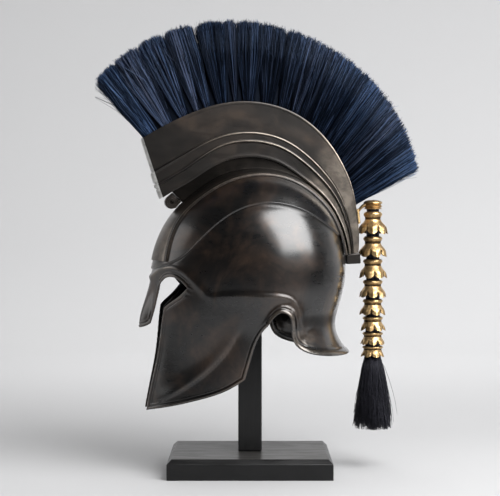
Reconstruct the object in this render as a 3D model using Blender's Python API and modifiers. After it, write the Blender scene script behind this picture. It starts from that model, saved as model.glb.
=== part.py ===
"""Greek bronze helmet with a raised horsehair crest and a hanging tail, on a plain display stand.

Run with: blender --background --python part.py
Metres, +Z up. The origin is the middle of the stand's underside. The helmet faces -X, turned a
few degrees towards -Y about the post. Angles go round the skull from its front, 0, to its back, 180;
bearings go round the crest in the middle plane, from the back, 0, over the top, 90, to the front, 180.
"""

from collections import namedtuple
from math import acos, cos, pi, radians, sin, tau

import bmesh
import bpy
import numpy as np
from mathutils import Vector

# ---- Stand ----
BASE_LENGTH = 0.2085
BASE_DEPTH = 0.161
BASE_HEIGHT = 0.026
BASE_CHAMFER = 0.006
POST_SIDE = 0.0305
POST_EDGE = 0.0015
HEAD_BLOCK_X = 0.0080  # under the crown
HEAD_BLOCK_RADIUS = 0.036
HEAD_BLOCK_FOOT = 0.350
HEAD_BLOCK_DOME = 0.076  # radius of the domed top that the crown rests on
HEAD_BLOCK_SIDES = 24
TOUCHING_GAP = 0.0004  # between pieces that rest on each other
HELMET_TURN = 7.0  # degrees that the helmet is turned on the stand

# ---- Bronze sheet ----
SHELL_WALL = 0.002
CALOTTE_RISE = 0.0016  # the skull's cap above the brow line is embossed outwards by this
BORDER_WIDTH = 0.0055
BORDER_RISE = 0.0011

# The outer form of the skull, section by section. Front and back are where a section crosses the
# middle plane, taper narrows its front, and prow draws the middle of the front forwards.
SkullRow = namedtuple("SkullRow", "height front back half_width taper prow")
SKULL = (
    SkullRow(0.3880, 0.0080, 0.0080, 0.0000, 0.10, 0.0000),
    SkullRow(0.3800, -0.0355, 0.0510, 0.0365, 0.10, 0.0000),
    SkullRow(0.3640, -0.0625, 0.0775, 0.0610, 0.11, 0.0000),
    SkullRow(0.3350, -0.0955, 0.1045, 0.0845, 0.12, 0.0000),
    SkullRow(0.3000, -0.1165, 0.1190, 0.0985, 0.14, 0.0000),
    SkullRow(0.2680, -0.1250, 0.1240, 0.1020, 0.16, 0.0010),
    SkullRow(0.2380, -0.1265, 0.1215, 0.1015, 0.18, 0.0055),
    SkullRow(0.2120, -0.1270, 0.1145, 0.0990, 0.20, 0.0130),
    SkullRow(0.1880, -0.1265, 0.1085, 0.0950, 0.21, 0.0170),
    SkullRow(0.1550, -0.1280, 0.1060, 0.0890, 0.23, 0.0060),
    SkullRow(0.1200, -0.1335, 0.1060, 0.0825, 0.25, 0.0030),
    SkullRow(0.0750, -0.1405, 0.1080, 0.0740, 0.26, 0.0030),
)
PROW_ANGLE = 12.0
CROWN = SKULL[0].height
SKULL_DROP = CROWN - SKULL[-1].height

# The outlines cut in the skull, as (angle, height) on its surface.
BROW_CENTRE_HEIGHT = 0.2415
NASAL_ROOT = (20.0, BROW_CENTRE_HEIGHT)
EYE_CORNER = (47.0, 0.2400)
CHEEK_TOP = (27.0, 0.2150)
CHIN_TIP = (15.5, 0.0820)
JAW_CORNER = (88.5, 0.1265)
EAR_FRONT = (99.0, 0.1950)
NAPE_HEIGHT = 0.1545
NASAL_SIDE = (NASAL_ROOT, (17.3, 0.225), (15.0, 0.208), (12.5, 0.1935))
NASAL_TIP = ((0.0, 0.1870), (6.5, 0.1885), NASAL_SIDE[-1])
EYE_UPPER = (NASAL_ROOT, (26.0, 0.2505), (33.0, 0.2535), (40.0, 0.2505), EYE_CORNER)
EYE_LOWER = (CHEEK_TOP, (31.0, 0.2190), (36.0, 0.2240), (41.5, 0.2305), EYE_CORNER)
CHEEK_FRONT = (CHEEK_TOP, (23.5, 0.190), (20.7, 0.160), (18.0, 0.120), CHIN_TIP)
CHEEK_LOWER = (CHIN_TIP, (38.0, 0.0880), (62.0, 0.0995), (79.0, 0.1130), JAW_CORNER)
CHEEK_REAR = (EAR_FRONT, (94.5, 0.1800), (91.3, 0.1580), JAW_CORNER)
TEMPLE = (EYE_CORNER, (62.0, 0.2330), (82.0, 0.2170), EAR_FRONT)
EAR_AND_NAPE = (EAR_FRONT, (101.5, 0.2045), (106.0, 0.2115), (110.0, 0.2080), (112.5, 0.1960),
                (114.0, 0.1820), (117.0, 0.1710), (124.0, 0.1625), (137.0, 0.1575),
                (157.0, 0.1550), (180.0, NAPE_HEIGHT))
BROW_LINE = ((0.0, 0.2625), (14.0, 0.2655), (28.0, 0.2700), (40.0, 0.2780), (50.0, 0.2960),
             (60.0, 0.3185), (72.0, 0.3365), (85.0, 0.3445), (100.0, 0.3455), (120.0, 0.3385),
             (141.0, 0.3205), (160.0, 0.3050), (180.0, 0.2980))

# The neck guard and the ear cut-out turn outwards. Reach is how far in from the edge this begins.
FlareRow = namedtuple("FlareRow", "angle outward reach")
FLARE = (
    FlareRow(98.0, 0.0030, 0.012),
    FlareRow(106.0, 0.0050, 0.014),
    FlareRow(114.0, 0.0080, 0.022),
    FlareRow(124.0, 0.0150, 0.036),
    FlareRow(140.0, 0.0200, 0.046),
    FlareRow(180.0, 0.0230, 0.050),
)

# ---- Crest, in the middle plane, round a centre in the skull ----
CREST_CENTRE = (0.0, 0.263)  # x and height
# Radii of the crest holder's two edges and of the hair's tips. The holder's front end is cut
# slanting, so its inner edge has bearings of its own.
CrestRow = namedtuple("CrestRow", "bearing outer inner_bearing inner hair")
CREST = (
    CrestRow(129.7, 0.2175, 141.3, 0.1455, 0.316),
    CrestRow(118.5, 0.2140, 124.5, 0.1365, 0.324),
    CrestRow(104.5, 0.2148, 106.5, 0.1410, 0.3265),
    CrestRow(92.0, 0.2155, 92.0, 0.1435, 0.324),
    CrestRow(77.0, 0.2105, 77.0, 0.1415, 0.314),
    CrestRow(63.0, 0.1985, 63.0, 0.1352, 0.301),
    CrestRow(50.0, 0.1830, 50.0, 0.1334, 0.285),
    CrestRow(37.0, 0.1678, 37.0, 0.1331, 0.266),
    CrestRow(25.0, 0.1545, 25.0, 0.1318, 0.250),
    CrestRow(8.0, 0.1425, 8.0, 0.1302, 0.235),
)
HAIR_BACK_BEARING = 30.5
CHANNEL_HALF_GAP = 0.0088
# Half the holder's thickness, and how far up its side, from its inner edge, 0, to its outer, 1.
SideRow = namedtuple("SideRow", "share half_width")
HOLDER_SIDE = (
    SideRow(0.00, 0.0105),
    SideRow(0.26, 0.0105),
    SideRow(0.28, 0.0135),
    SideRow(0.43, 0.0135),
    SideRow(0.45, 0.0112),
    SideRow(1.00, 0.0112),
)
CHANNEL_FLOOR_SHARE = 0.06
HOLDER_STATIONS = 25
END_PLATE_THICKNESS = 0.0030
END_PLATE_MARGIN = 0.0030

SEAT_FRONT_BEARING = 175.0
SEAT_BACK_BEARING = 8.2  # just above the foot
SEAT_THICKNESS = 0.0018
SEAT_HALF_WIDTH = 0.0385
SEAT_BROW_HALF_WIDTH = 0.0450
SEAT_CLEARANCE = 0.0007  # over the embossed cap, whose facets the seat's own facets must clear
SEAT_STATIONS = 27
KEEL_HALF_WIDTH = 0.0085
KEEL_FRONT_BEARING = 136.0
KEEL_FULL_BEARING = 135.7  # from here back, the keel fills the space under the holder

SCROLL_CENTRE_BEARING = 140.1
SCROLL_RADIUS = 0.0096
SCROLL_BAR = 0.0030
SCROLL_HALF_WIDTH = 0.0085
SCROLL_TAIL_BEARING = 136.5

FOOT_HALF_WIDTH = 0.0145
FOOT_BEARINGS = (7.8, 2.2)
FOOT_INNER_RADIUS = 0.1250
FOOT_OUTER_RADIUS = 0.1440

# ---- Plume ----
LOCK_COUNT = 26
LOCK_PARTING = 0.30  # how deep the partings are cut, as a share of the hair that stands free
LOCK_EDGE = 0.18  # share of a lock's width on each side that slopes into its parting
PLUME_ROOT_DEPTH = 0.0075
PLUME_TIP_HALF_WIDTH = 0.0215
PLUME_MID_HALF_WIDTH = 0.0155
PLUME_BACK_MARGIN = 0.0004

# ---- Tail ----
TAIL_X = 0.1625
TAIL_CORE_TOP = 0.3465
TAIL_CORE_TOP_RADIUS = 0.0082
TAIL_CORE_FOOT_RADIUS = 0.0100
TAIL_SIDES = 16
CUP_TOP = 0.3515
CUP_FOOT = 0.3395
CUP_RADIUS = 0.0125
BRACKET_HALF_WIDTH = 0.0125
BRACKET_THICKNESS = 0.0030
BRACKET_BEARINGS = (28.5, 22.0)
COLLAR_COUNT = 8
COLLARS_TOP = 0.3360
COLLARS_FOOT = 0.1440
COLLAR_FIRST_SHARE = 1.34  # pitch of the first collar over the mean pitch; the last is as much less
COLLAR_FILL = 0.90  # a collar's height over its pitch
COLLAR_TOP_RADIUS = 0.0192
COLLAR_FOOT_RADIUS = 0.0150
COLLAR_BORE_GAP = 0.0004
PETALS = 7
TASSEL_TOP = 0.1425
TASSEL_FOOT = 0.0520
TASSEL_NECK_RADIUS = 0.0110
TASSEL_FOOT_RADIUS = 0.0270
TASSEL_LOCKS = 11

# ---- Colours: red, green, blue ----
BRONZE = (0.060, 0.052, 0.046)
WORN_BRONZE = (0.42, 0.41, 0.39)
GILT = (0.62, 0.42, 0.17)
NAVY_HAIR = (0.016, 0.032, 0.075)
BLACK_HAIR = (0.012, 0.013, 0.018)
BLACK_PAINT = (0.020, 0.020, 0.021)


# ---- Numbers ----

def natural_spline(knots, values):
    """A smooth function through values at rising knots, with no bend at its two ends."""
    knots = np.asarray(knots, float)
    values = np.asarray(values, float)
    steps = np.diff(knots)
    last = len(knots) - 1
    system = np.eye(last + 1)
    right = np.zeros(values.shape)
    slopes = (np.diff(values, axis=0).T / steps).T
    for i in range(1, last):
        system[i, i - 1:i + 2] = steps[i - 1], 2 * (steps[i - 1] + steps[i]), steps[i]
        right[i] = 6 * (slopes[i] - slopes[i - 1])
    bends = np.linalg.solve(system, right)

    def value(at):
        at = np.asarray(at, float)
        i = np.clip(np.searchsorted(knots, at) - 1, 0, last - 1)
        shape = at.shape + (1,) * (values.ndim - 1)
        before = (at - knots[i]).reshape(shape)
        after = (knots[i + 1] - at).reshape(shape)
        step = steps[i].reshape(shape)
        curved = (bends[i] * after ** 3 + bends[i + 1] * before ** 3) / (6 * step)
        start = (values[i] / step - bends[i] * step / 6) * after
        end = (values[i + 1] / step - bends[i + 1] * step / 6) * before
        return curved + start + end

    return value


def column_spline(rows, key, column):
    """Splines one named column of a table against another, whichever way the table runs."""
    pairs = sorted((getattr(row, key), getattr(row, column)) for row in rows)
    return natural_spline([pair[0] for pair in pairs], [pair[1] for pair in pairs])


def ease(value, start, end):
    """0 before start, 1 after end, and a smooth rise between them."""
    share = np.clip((np.asarray(value, float) - start) / (end - start), 0.0, 1.0)
    return share * share * (3 - 2 * share)


# ---- The skull's form ----

def depth_of(height):
    """The skull's own downward measure, 0 at the crown and 1 at the last row; it is round at the top."""
    return np.sqrt(np.maximum(CROWN - np.asarray(height, float), 0.0) / SKULL_DROP)


SKULL_DEPTHS = [float(depth_of(row.height)) for row in SKULL]
FRONT_AT, BACK_AT, HALF_WIDTH_AT, TAPER_AT, PROW_AT = (
    natural_spline(SKULL_DEPTHS, [getattr(row, column) for row in SKULL])
    for column in ("front", "back", "half_width", "taper", "prow")
)


def skull_point(angle, depth):
    """Points of the plain form on the +Y side, for arrays of angle and depth."""
    turn = np.radians(angle)
    front, back = FRONT_AT(depth), BACK_AT(depth)
    middle, reach = (front + back) / 2, (back - front) / 2
    prow = PROW_AT(depth) * np.exp(-(np.asarray(angle) / PROW_ANGLE) ** 2)
    x = middle - reach * np.cos(turn) - prow
    y = HALF_WIDTH_AT(depth) * np.sin(turn) * (1 - TAPER_AT(depth) * np.cos(turn))
    z = CROWN - SKULL_DROP * np.asarray(depth) ** 2 + 0 * turn
    return np.stack([x, y, z], axis=-1)


def skull_normal(angle, depth):
    """Outward unit normals of the plain form."""
    nudge_angle, nudge_depth = 0.5, 0.004
    safe = np.maximum(depth, 2 * nudge_depth)
    across = skull_point(angle + nudge_angle, safe) - skull_point(angle - nudge_angle, safe)
    down = skull_point(angle, safe + nudge_depth) - skull_point(angle, safe - nudge_depth)
    normal = np.cross(across, down)
    normal /= np.linalg.norm(normal, axis=-1, keepdims=True)
    return np.where((np.asarray(depth) < nudge_depth)[..., None], (0.0, 0.0, 1.0), normal)


def skull_half_width(x, height):
    """How far the plain form stands out sideways from a point of the middle plane; 0 outside it."""
    depth = depth_of(height)
    front, back = FRONT_AT(depth), BACK_AT(depth)
    reach = np.maximum((back - front) / 2, 1e-6)
    cosine = np.clip(((front + back) / 2 - x) / reach, -1.0, 1.0)
    inside = np.asarray(height) < CROWN
    return inside * HALF_WIDTH_AT(depth) * np.sqrt(1 - cosine ** 2) * (1 - TAPER_AT(depth) * cosine)


def skull_radius(bearing, offset):
    """Distance from the crest's centre to the plain form, on a bearing, offset from the middle plane."""
    centre_x, centre_z = CREST_CENTRE
    turn = np.radians(bearing)
    low = np.full(np.broadcast(bearing, offset).shape, 0.060)
    high = np.full(low.shape, 0.160)
    for _ in range(40):
        middle = (low + high) / 2
        width = skull_half_width(centre_x + middle * np.cos(turn), centre_z + middle * np.sin(turn))
        inside = width > np.maximum(np.abs(offset), 1e-5)
        low = np.where(inside, middle, low)
        high = np.where(inside, high, middle)
    return (low + high) / 2


def crest_point(bearing, radius, offset=0.0):
    """A point of the crest's plane, moved sideways by offset."""
    turn = radians(bearing)
    return Vector((CREST_CENTRE[0] + radius * cos(turn), offset, CREST_CENTRE[1] + radius * sin(turn)))


# ---- Blender helpers ----

def clear_scene():
    for found in list(bpy.data.objects):
        bpy.data.objects.remove(found)


def new_material(name, colour, roughness, metallic):
    material = bpy.data.materials.new(name)
    material.use_nodes = True
    shader = material.node_tree.nodes["Principled BSDF"]
    shader.inputs["Base Color"].default_value = (*colour, 1.0)
    shader.inputs["Roughness"].default_value = roughness
    shader.inputs["Metallic"].default_value = metallic
    return material


def link_mesh(name, mesh, material, collection, parent=None, smooth_angle=None):
    obj = bpy.data.objects.new(name, mesh)
    mesh.materials.append(material)
    collection.objects.link(obj)
    obj.parent = parent
    if smooth_angle is not None:
        mesh.shade_smooth()
        mesh.set_sharp_from_angle(angle=radians(smooth_angle))
    return obj


def mesh_from(name, bm):
    mesh = bpy.data.meshes.new(name)
    bm.to_mesh(mesh)
    bm.free()
    return mesh


def add_grid(bm, points):
    """Adds a grid of points, rows by columns, as quads; a row drawn into one point gives triangles."""
    rows = [[bm.verts.new(point) for point in row] for row in points]
    for upper, lower in zip(rows, rows[1:]):
        for left in range(len(upper) - 1):
            bm.faces.new((upper[left], lower[left], lower[left + 1], upper[left + 1]))


def closed_loft(name, sections, weld=1e-6):
    """A solid through rings of points with equal counts, with flat caps on the first and last."""
    bm = bmesh.new()
    rings = [[bm.verts.new(point) for point in section] for section in sections]
    for ring, following in zip(rings, rings[1:]):
        for i in range(len(ring)):
            j = (i + 1) % len(ring)
            bm.faces.new((ring[i], ring[j], following[j], following[i]))
    bm.faces.new(reversed(rings[0]))
    bm.faces.new(rings[-1])
    bmesh.ops.remove_doubles(bm, verts=bm.verts, dist=weld)
    bmesh.ops.recalc_face_normals(bm, faces=bm.faces)
    bmesh.ops.triangulate(bm, faces=[face for face in bm.faces if len(face.verts) > 4])
    return mesh_from(name, bm)


# ---- Helmet shell ----

def unrolled(knots):
    """A smooth curve on the skull through (angle, height) knots, as a function of a share from 0 to 1.

    It gives (angle, depth) pairs, spaced by length on the surface.
    """
    plain = np.array([(angle, float(depth_of(height))) for angle, height in knots])
    places = skull_point(plain[:, 0], plain[:, 1])
    lengths = np.r_[0, np.cumsum(np.linalg.norm(np.diff(places, axis=0), axis=1))]
    return natural_spline(lengths / lengths[-1], plain)


def graded(count, border_cells, border_share):
    """Shares from 0 to 1: even cells, then narrow ones in the border at the end."""
    inner = np.linspace(0.0, 1.0 - border_share, count + 1)
    border = np.linspace(1.0 - border_share, 1.0, border_cells + 1)[1:]
    return np.r_[inner, border]


def graded_both(count, border_cells, border_share):
    """Shares from 0 to 1 with narrow cells in a border at both ends."""
    border = np.linspace(0.0, border_share, border_cells + 1)
    inner = np.linspace(border_share, 1.0 - border_share, count + 1)[1:-1]
    return np.r_[border, inner, 1.0 - border[::-1]]


def coons(top, bottom, left, right, across, down):
    """A grid between four curves; left and right run from top to bottom."""
    u = across[None, :, None]
    v = down[:, None, None]
    between = (1 - v) * top[None] + v * bottom[None] + (1 - u) * left[:, None] + u * right[:, None]
    corners = ((1 - u) * (1 - v) * top[0] + u * (1 - v) * top[-1]
               + (1 - u) * v * bottom[0] + u * v * bottom[-1])
    return between - corners


def shell_grids():
    """The half shell's three grids of (angle, depth): cap and neck guard, nasal, cheek piece."""
    root_angles = np.linspace(0.0, NASAL_ROOT[0], 4)
    root = np.stack([root_angles, np.full(4, float(depth_of(BROW_CENTRE_HEIGHT)))], axis=-1)
    eye = unrolled(EYE_UPPER)(np.linspace(0.0, 1.0, 8))
    temple = unrolled(TEMPLE)(np.linspace(0.0, 1.0, 9))
    ear_and_nape = unrolled(EAR_AND_NAPE)(np.linspace(0.0, 1.0, 19))
    lower_edge = np.concatenate([root, eye[1:], temple[1:], ear_and_nape[1:]])

    # The cap's columns run down from the crown, over the brow line, to that lower edge.
    brow = unrolled(BROW_LINE)
    brow_curve = brow(np.linspace(0.0, 1.0, 200))
    brow_depth = np.interp(lower_edge[:, 0], brow_curve[:, 0], brow_curve[:, 1])
    step = 0.004  # half the width of the embossed step, as a depth
    columns = []
    for (angle, depth), line in zip(lower_edge, brow_depth):
        above = np.linspace(0.0, line - step, 7)
        below = line + step + (depth - line - step) * graded(3, 2, 0.16)
        depths = np.r_[above, below]
        columns.append(np.stack([np.full(len(depths), angle), depths], axis=-1))
    cap = np.stack(columns, axis=1)

    down = graded(2, 2, 0.22)
    nasal_side = unrolled(NASAL_SIDE)(down)
    middle_depths = np.interp(down, (0, 1), (root[0, 1], depth_of(NASAL_TIP[0][1])))
    nasal_middle = np.stack([np.zeros(len(down)), middle_depths], axis=-1)
    across = np.linspace(0.0, 1.0, 4)
    nasal = coons(root, unrolled(NASAL_TIP)(across), nasal_middle, nasal_side, across, down)

    eye_lower = unrolled(EYE_LOWER)(np.linspace(0.0, 1.0, 8))
    top = np.concatenate([eye_lower, temple[1:]])
    lengths = np.r_[0, np.cumsum(np.linalg.norm(np.diff(skull_point(top[:, 0], top[:, 1]), axis=0), axis=1))]
    across = lengths / lengths[-1]
    down = graded_both(6, 2, 0.055)
    cheek = coons(top, unrolled(CHEEK_LOWER)(across), unrolled(CHEEK_FRONT)(down),
                  unrolled(CHEEK_REAR)(down), across, down)
    return cap, nasal, cheek


def edge_points(*outlines, samples=160):
    """Points close together along outlines of the plain form."""
    found = [unrolled(outline)(np.linspace(0.0, 1.0, samples)) for outline in outlines]
    found = np.concatenate(found)
    return skull_point(found[:, 0], found[:, 1])


def distance_to(points, edge):
    """Distance of each of an array of points from the nearest point of an edge."""
    flat = points.reshape(-1, 3)
    nearest = np.array([np.min(np.linalg.norm(edge - point, axis=1)) for point in flat])
    return nearest.reshape(points.shape[:-1])


def embossed(grid):
    """Outer points for a grid of (angle, depth): the plain form with its cap, border and flare."""
    angle, depth = grid[..., 0], grid[..., 1]
    plain = skull_point(angle, depth)
    normal = skull_normal(angle, depth)
    brow_curve = unrolled(BROW_LINE)(np.linspace(0.0, 1.0, 200))
    brow_depth = np.interp(angle, brow_curve[:, 0], brow_curve[:, 1])
    free = edge_points(NASAL_TIP, NASAL_SIDE, EYE_UPPER, EYE_LOWER, CHEEK_FRONT, CHEEK_LOWER,
                       CHEEK_REAR, EAR_AND_NAPE)
    rise = CALOTTE_RISE * (1 - ease(depth, brow_depth - 0.0035, brow_depth + 0.0035))
    rise = rise + BORDER_RISE * (1 - ease(distance_to(plain, free), BORDER_WIDTH, BORDER_WIDTH + 0.002))
    outward = np.interp(angle, [row.angle for row in FLARE], [row.outward for row in FLARE])
    reach = np.interp(angle, [row.angle for row in FLARE], [row.reach for row in FLARE])
    nearness = np.clip(1 - distance_to(plain, edge_points(EAR_AND_NAPE)) / reach, 0.0, 1.0)
    behind = ease(angle, 88.0, 100.0)
    points = plain + normal * (rise + outward * behind * nearness ** 2)[..., None]
    points[..., 1] = np.where(points[..., 1] < 1e-4, 0.0, points[..., 1])
    return points


def build_shell(material, collection, parent):
    """Cap, brow, nasal, cheek pieces and neck guard, beaten from one sheet."""
    bm = bmesh.new()
    for grid in shell_grids():
        add_grid(bm, embossed(grid))
    bmesh.ops.remove_doubles(bm, verts=bm.verts, dist=1e-5)
    bmesh.ops.recalc_face_normals(bm, faces=bm.faces)
    mesh = mesh_from("helmet_shell", bm)
    shell = link_mesh("helmet_shell", mesh, material, collection, parent, smooth_angle=40)
    mirror = shell.modifiers.new("other_side", "MIRROR")
    mirror.use_axis = (False, True, False)
    mirror.merge_threshold = 0.0001
    wall = shell.modifiers.new("wall", "SOLIDIFY")
    wall.thickness = SHELL_WALL
    wall.offset = -1.0
    wall.use_even_offset = True
    return shell


# ---- Crest seat and holder ----

def seat_top(bearing, offset):
    """Radius of the seat's upper face, away from the keel."""
    return skull_radius(bearing, offset) + CALOTTE_RISE + SEAT_CLEARANCE + SEAT_THICKNESS


def keel_rise(bearing):
    """Height of the keel over the seat: up to the holder's inner edge, and 0 in front of it."""
    holder = float(column_spline(CREST, "inner_bearing", "inner")(max(bearing, CREST[-1].bearing)))
    full = max(holder - 2 * TOUCHING_GAP - float(seat_top(bearing, 0.0)), 0.0)
    return full * (1 - float(ease(bearing, KEEL_FULL_BEARING, KEEL_FRONT_BEARING)))


def build_seat(material, collection, parent):
    """The raised band along the middle of the skull that carries the crest, with its keel."""
    sections = []
    bearings = np.linspace(SEAT_FRONT_BEARING, SEAT_BACK_BEARING, SEAT_STATIONS)
    for bearing in sorted([*bearings, KEEL_FRONT_BEARING, KEEL_FULL_BEARING], reverse=True):
        widening = float(ease(bearing, 138.0, SEAT_FRONT_BEARING))
        half = SEAT_HALF_WIDTH + (SEAT_BROW_HALF_WIDTH - SEAT_HALF_WIDTH) * widening
        rise = max(keel_rise(bearing), 1e-5)
        wing = np.linspace(half, KEEL_HALF_WIDTH + 0.0008, 5)
        upper_offsets = np.r_[-wing, -KEEL_HALF_WIDTH, KEEL_HALF_WIDTH, wing[::-1]]
        lifts = np.r_[0 * wing, rise, rise, 0 * wing]
        lower_offsets = np.r_[wing, 0.0, -wing[::-1]]
        upper = [crest_point(bearing, float(seat_top(bearing, offset)) + lift, offset)
                 for offset, lift in zip(upper_offsets, lifts)]
        lower = [crest_point(bearing, float(seat_top(bearing, offset)) - SEAT_THICKNESS, offset)
                 for offset in lower_offsets]
        sections.append(upper + lower)
    mesh = closed_loft("crest_seat", sections)
    return link_mesh("crest_seat", mesh, material, collection, parent, smooth_angle=40)


def crest_stations(count):
    """Stations along the crest holder, each a bearing and radius for its inner and outer edge."""
    shares = np.linspace(0.0, 1.0, len(CREST))
    columns = natural_spline(shares, np.array([list(row) for row in CREST], float))
    return [CrestRow(*map(float, row)) for row in columns(np.linspace(0.0, 1.0, count))]


def holder_point(station, share, offset):
    """A point on the holder's section: share 0 is its inner edge, 1 its outer."""
    inner = crest_point(station.inner_bearing, station.inner)
    outer = crest_point(station.bearing, station.outer)
    point = inner.lerp(outer, share)
    return Vector((point.x, offset, point.z))


def holder_section(station):
    """The holder's section: an open channel with a raised band along each side."""
    side = [holder_point(station, row.share, row.half_width) for row in HOLDER_SIDE]
    side.append(holder_point(station, 1.0, CHANNEL_HALF_GAP))
    side.append(holder_point(station, CHANNEL_FLOOR_SHARE, CHANNEL_HALF_GAP))
    other = [Vector((point.x, -point.y, point.z)) for point in reversed(side)]
    return side + other


def build_holder(material, collection, parent):
    """The long curved channel that grips the hair."""
    sections = [holder_section(station) for station in crest_stations(HOLDER_STATIONS)]
    mesh = closed_loft("crest_holder", sections)
    return link_mesh("crest_holder", mesh, material, collection, parent, smooth_angle=35)


def build_end_plate(material, collection, parent):
    """The plate that closes the holder's front end and follows its outline."""
    station = crest_stations(2)[0]
    along = (holder_point(station, 1.0, 0.0) - holder_point(station, 0.0, 0.0)).normalized()
    forwards = Vector((-along.z, 0.0, along.x))
    near = TOUCHING_GAP
    far = near + END_PLATE_THICKNESS
    outline = []
    for row in HOLDER_SIDE:
        outline.append(holder_point(station, row.share, row.half_width + END_PLATE_MARGIN))
    outline += [Vector((point.x, -point.y, point.z)) for point in reversed(outline)]
    sections = [[point + forwards * distance for point in outline] for distance in (near, far)]
    mesh = closed_loft("crest_end_plate", sections)
    return link_mesh("crest_end_plate", mesh, material, collection, parent)


def build_scroll(material, collection, parent):
    """The bracket under the holder's front end: a rolled-up drum with a bar that lies back along the seat."""
    turn = radians(SCROLL_CENTRE_BEARING)
    underside = float(seat_top(SCROLL_CENTRE_BEARING, 0.0)) + 2 * TOUCHING_GAP
    centre = (underside + SCROLL_RADIUS) * np.array([cos(turn), sin(turn)])
    lowest = turn - pi
    round_way = tau - acos(1 - SCROLL_BAR / SCROLL_RADIUS)  # ends where the bar's upper side meets the drum
    drum = [centre + SCROLL_RADIUS * np.array([cos(swing), sin(swing)])
            for swing in np.linspace(lowest, lowest - round_way, 28)]
    tail = radians(SCROLL_TAIL_BEARING)
    bar_end = [(underside + rise) * np.array([cos(tail), sin(tail)]) for rise in (SCROLL_BAR, 0.0)]
    outline = drum + bar_end
    curve = bpy.data.curves.new("crest_scroll", "CURVE")
    curve.dimensions = "2D"
    curve.fill_mode = "BOTH"
    curve.extrude = SCROLL_HALF_WIDTH
    spline = curve.splines.new("POLY")
    spline.points.add(len(outline) - 1)
    for point, (x, z) in zip(spline.points, outline):
        point.co = (x, z, 0.0, 1.0)
    spline.use_cyclic_u = True
    curve.materials.append(material)
    scroll = bpy.data.objects.new("crest_scroll", curve)
    collection.objects.link(scroll)
    scroll.parent = parent
    scroll.rotation_euler = (pi / 2, 0.0, 0.0)
    scroll.location = (CREST_CENTRE[0], 0.0, CREST_CENTRE[1])
    return scroll


def build_foot(material, collection, parent):
    """The block that closes the holder's back end."""
    sections = []
    for bearing in np.linspace(*FOOT_BEARINGS, 3):
        corners = ((FOOT_INNER_RADIUS, FOOT_HALF_WIDTH), (FOOT_OUTER_RADIUS, FOOT_HALF_WIDTH),
                   (FOOT_OUTER_RADIUS, -FOOT_HALF_WIDTH), (FOOT_INNER_RADIUS, -FOOT_HALF_WIDTH))
        sections.append([crest_point(bearing, radius, offset) for radius, offset in corners])
    mesh = closed_loft("crest_foot", sections)
    foot = link_mesh("crest_foot", mesh, material, collection, parent)
    edges = foot.modifiers.new("edges", "BEVEL")
    edges.width = 0.0012
    edges.segments = 1
    edges.limit_method = "ANGLE"
    return foot


# ---- Plume ----

def build_plume(material, collection, parent):
    """The hair: a backing bar in the holder's channel, and locks that part towards their tips."""
    bar_half = CHANNEL_HALF_GAP - TOUCHING_GAP
    first, last = CREST[0].bearing - 0.25, HAIR_BACK_BEARING
    width = (first - last) / LOCK_COUNT
    outer_at = column_spline(CREST, "bearing", "outer")
    hair_at = column_spline(CREST, "bearing", "hair")
    sections = []

    def section(bearing, standing):
        outer = float(outer_at(bearing))
        tip = outer + (float(hair_at(bearing)) - outer) * standing
        root = outer - PLUME_ROOT_DEPTH
        middle = outer + (tip - outer) * 0.5
        half = [(root, bar_half), (outer + 0.001, bar_half), (middle, PLUME_MID_HALF_WIDTH),
                (tip - 0.004, PLUME_TIP_HALF_WIDTH), (tip, PLUME_TIP_HALF_WIDTH * 0.55)]
        right = [crest_point(bearing, radius, offset) for radius, offset in half]
        left = [crest_point(bearing, radius, -offset) for radius, offset in reversed(half)]
        return right + left

    for lock in range(LOCK_COUNT):
        start = first - lock * width
        parting = 1 - LOCK_PARTING * (0.7 + 0.3 * cos(2.4 * lock))
        tip = 1.0 + 0.012 * sin(1.9 * lock)
        sections.append(section(start, parting if lock else tip))
        sections.append(section(start - LOCK_EDGE * width, tip))
        sections.append(section(start - (1 - LOCK_EDGE) * width, tip))
    sections.append(section(last, 1.0))
    mesh = closed_loft("crest_plume", sections)
    return link_mesh("crest_plume", mesh, material, collection, parent)


def build_backing(material, collection, parent):
    """The bar that fills the rest of the channel, from the hair's back end down to the foot."""
    bar_half = CHANNEL_HALF_GAP - TOUCHING_GAP
    outer_at = column_spline(CREST, "bearing", "outer")
    sections = []
    for bearing in np.linspace(HAIR_BACK_BEARING - 0.25, CREST[-1].bearing + 0.2, 7):
        outer = float(outer_at(bearing)) - 0.0006
        inner = outer - PLUME_ROOT_DEPTH * 0.8
        sections.append([crest_point(bearing, radius, offset) for radius, offset in (
            (inner, bar_half), (outer, bar_half), (outer, -bar_half), (inner, -bar_half))])
    mesh = closed_loft("crest_backing", sections)
    return link_mesh("crest_backing", mesh, material, collection, parent)


# ---- Tail ----

def turned(name, profile, sides, ripple=None):
    """A solid turned about +Z from (radius, height, ripple share) rows, top to bottom and closed.

    ripple(angle) is added to a radius in proportion to its share.
    """
    bm = bmesh.new()
    rings = []
    for radius, height, share in profile:
        ring = []
        for i in range(sides):
            angle = tau * i / sides
            reach = radius * (1 + share * (ripple(angle) if ripple else 0.0))
            ring.append(bm.verts.new((reach * cos(angle), reach * sin(angle), height)))
        rings.append(ring)
    for ring, following in zip(rings, rings[1:] + rings[:1]):
        for i in range(sides):
            j = (i + 1) % sides
            bm.faces.new((ring[i], following[i], following[j], ring[j]))
    bmesh.ops.recalc_face_normals(bm, faces=bm.faces)
    return mesh_from(name, bm)


def turned_solid(name, profile, sides, ripple=None):
    """As turned, but the profile's ends are closed with flat caps instead of a bore."""
    sections = []
    for radius, height, share in profile:
        angles = [tau * i / sides for i in range(sides)]
        reaches = [radius * (1 + share * (ripple(angle) if ripple else 0.0)) for angle in angles]
        sections.append([Vector((reach * cos(angle), reach * sin(angle), height))
                         for reach, angle in zip(reaches, angles)])
    return closed_loft(name, sections)


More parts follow.
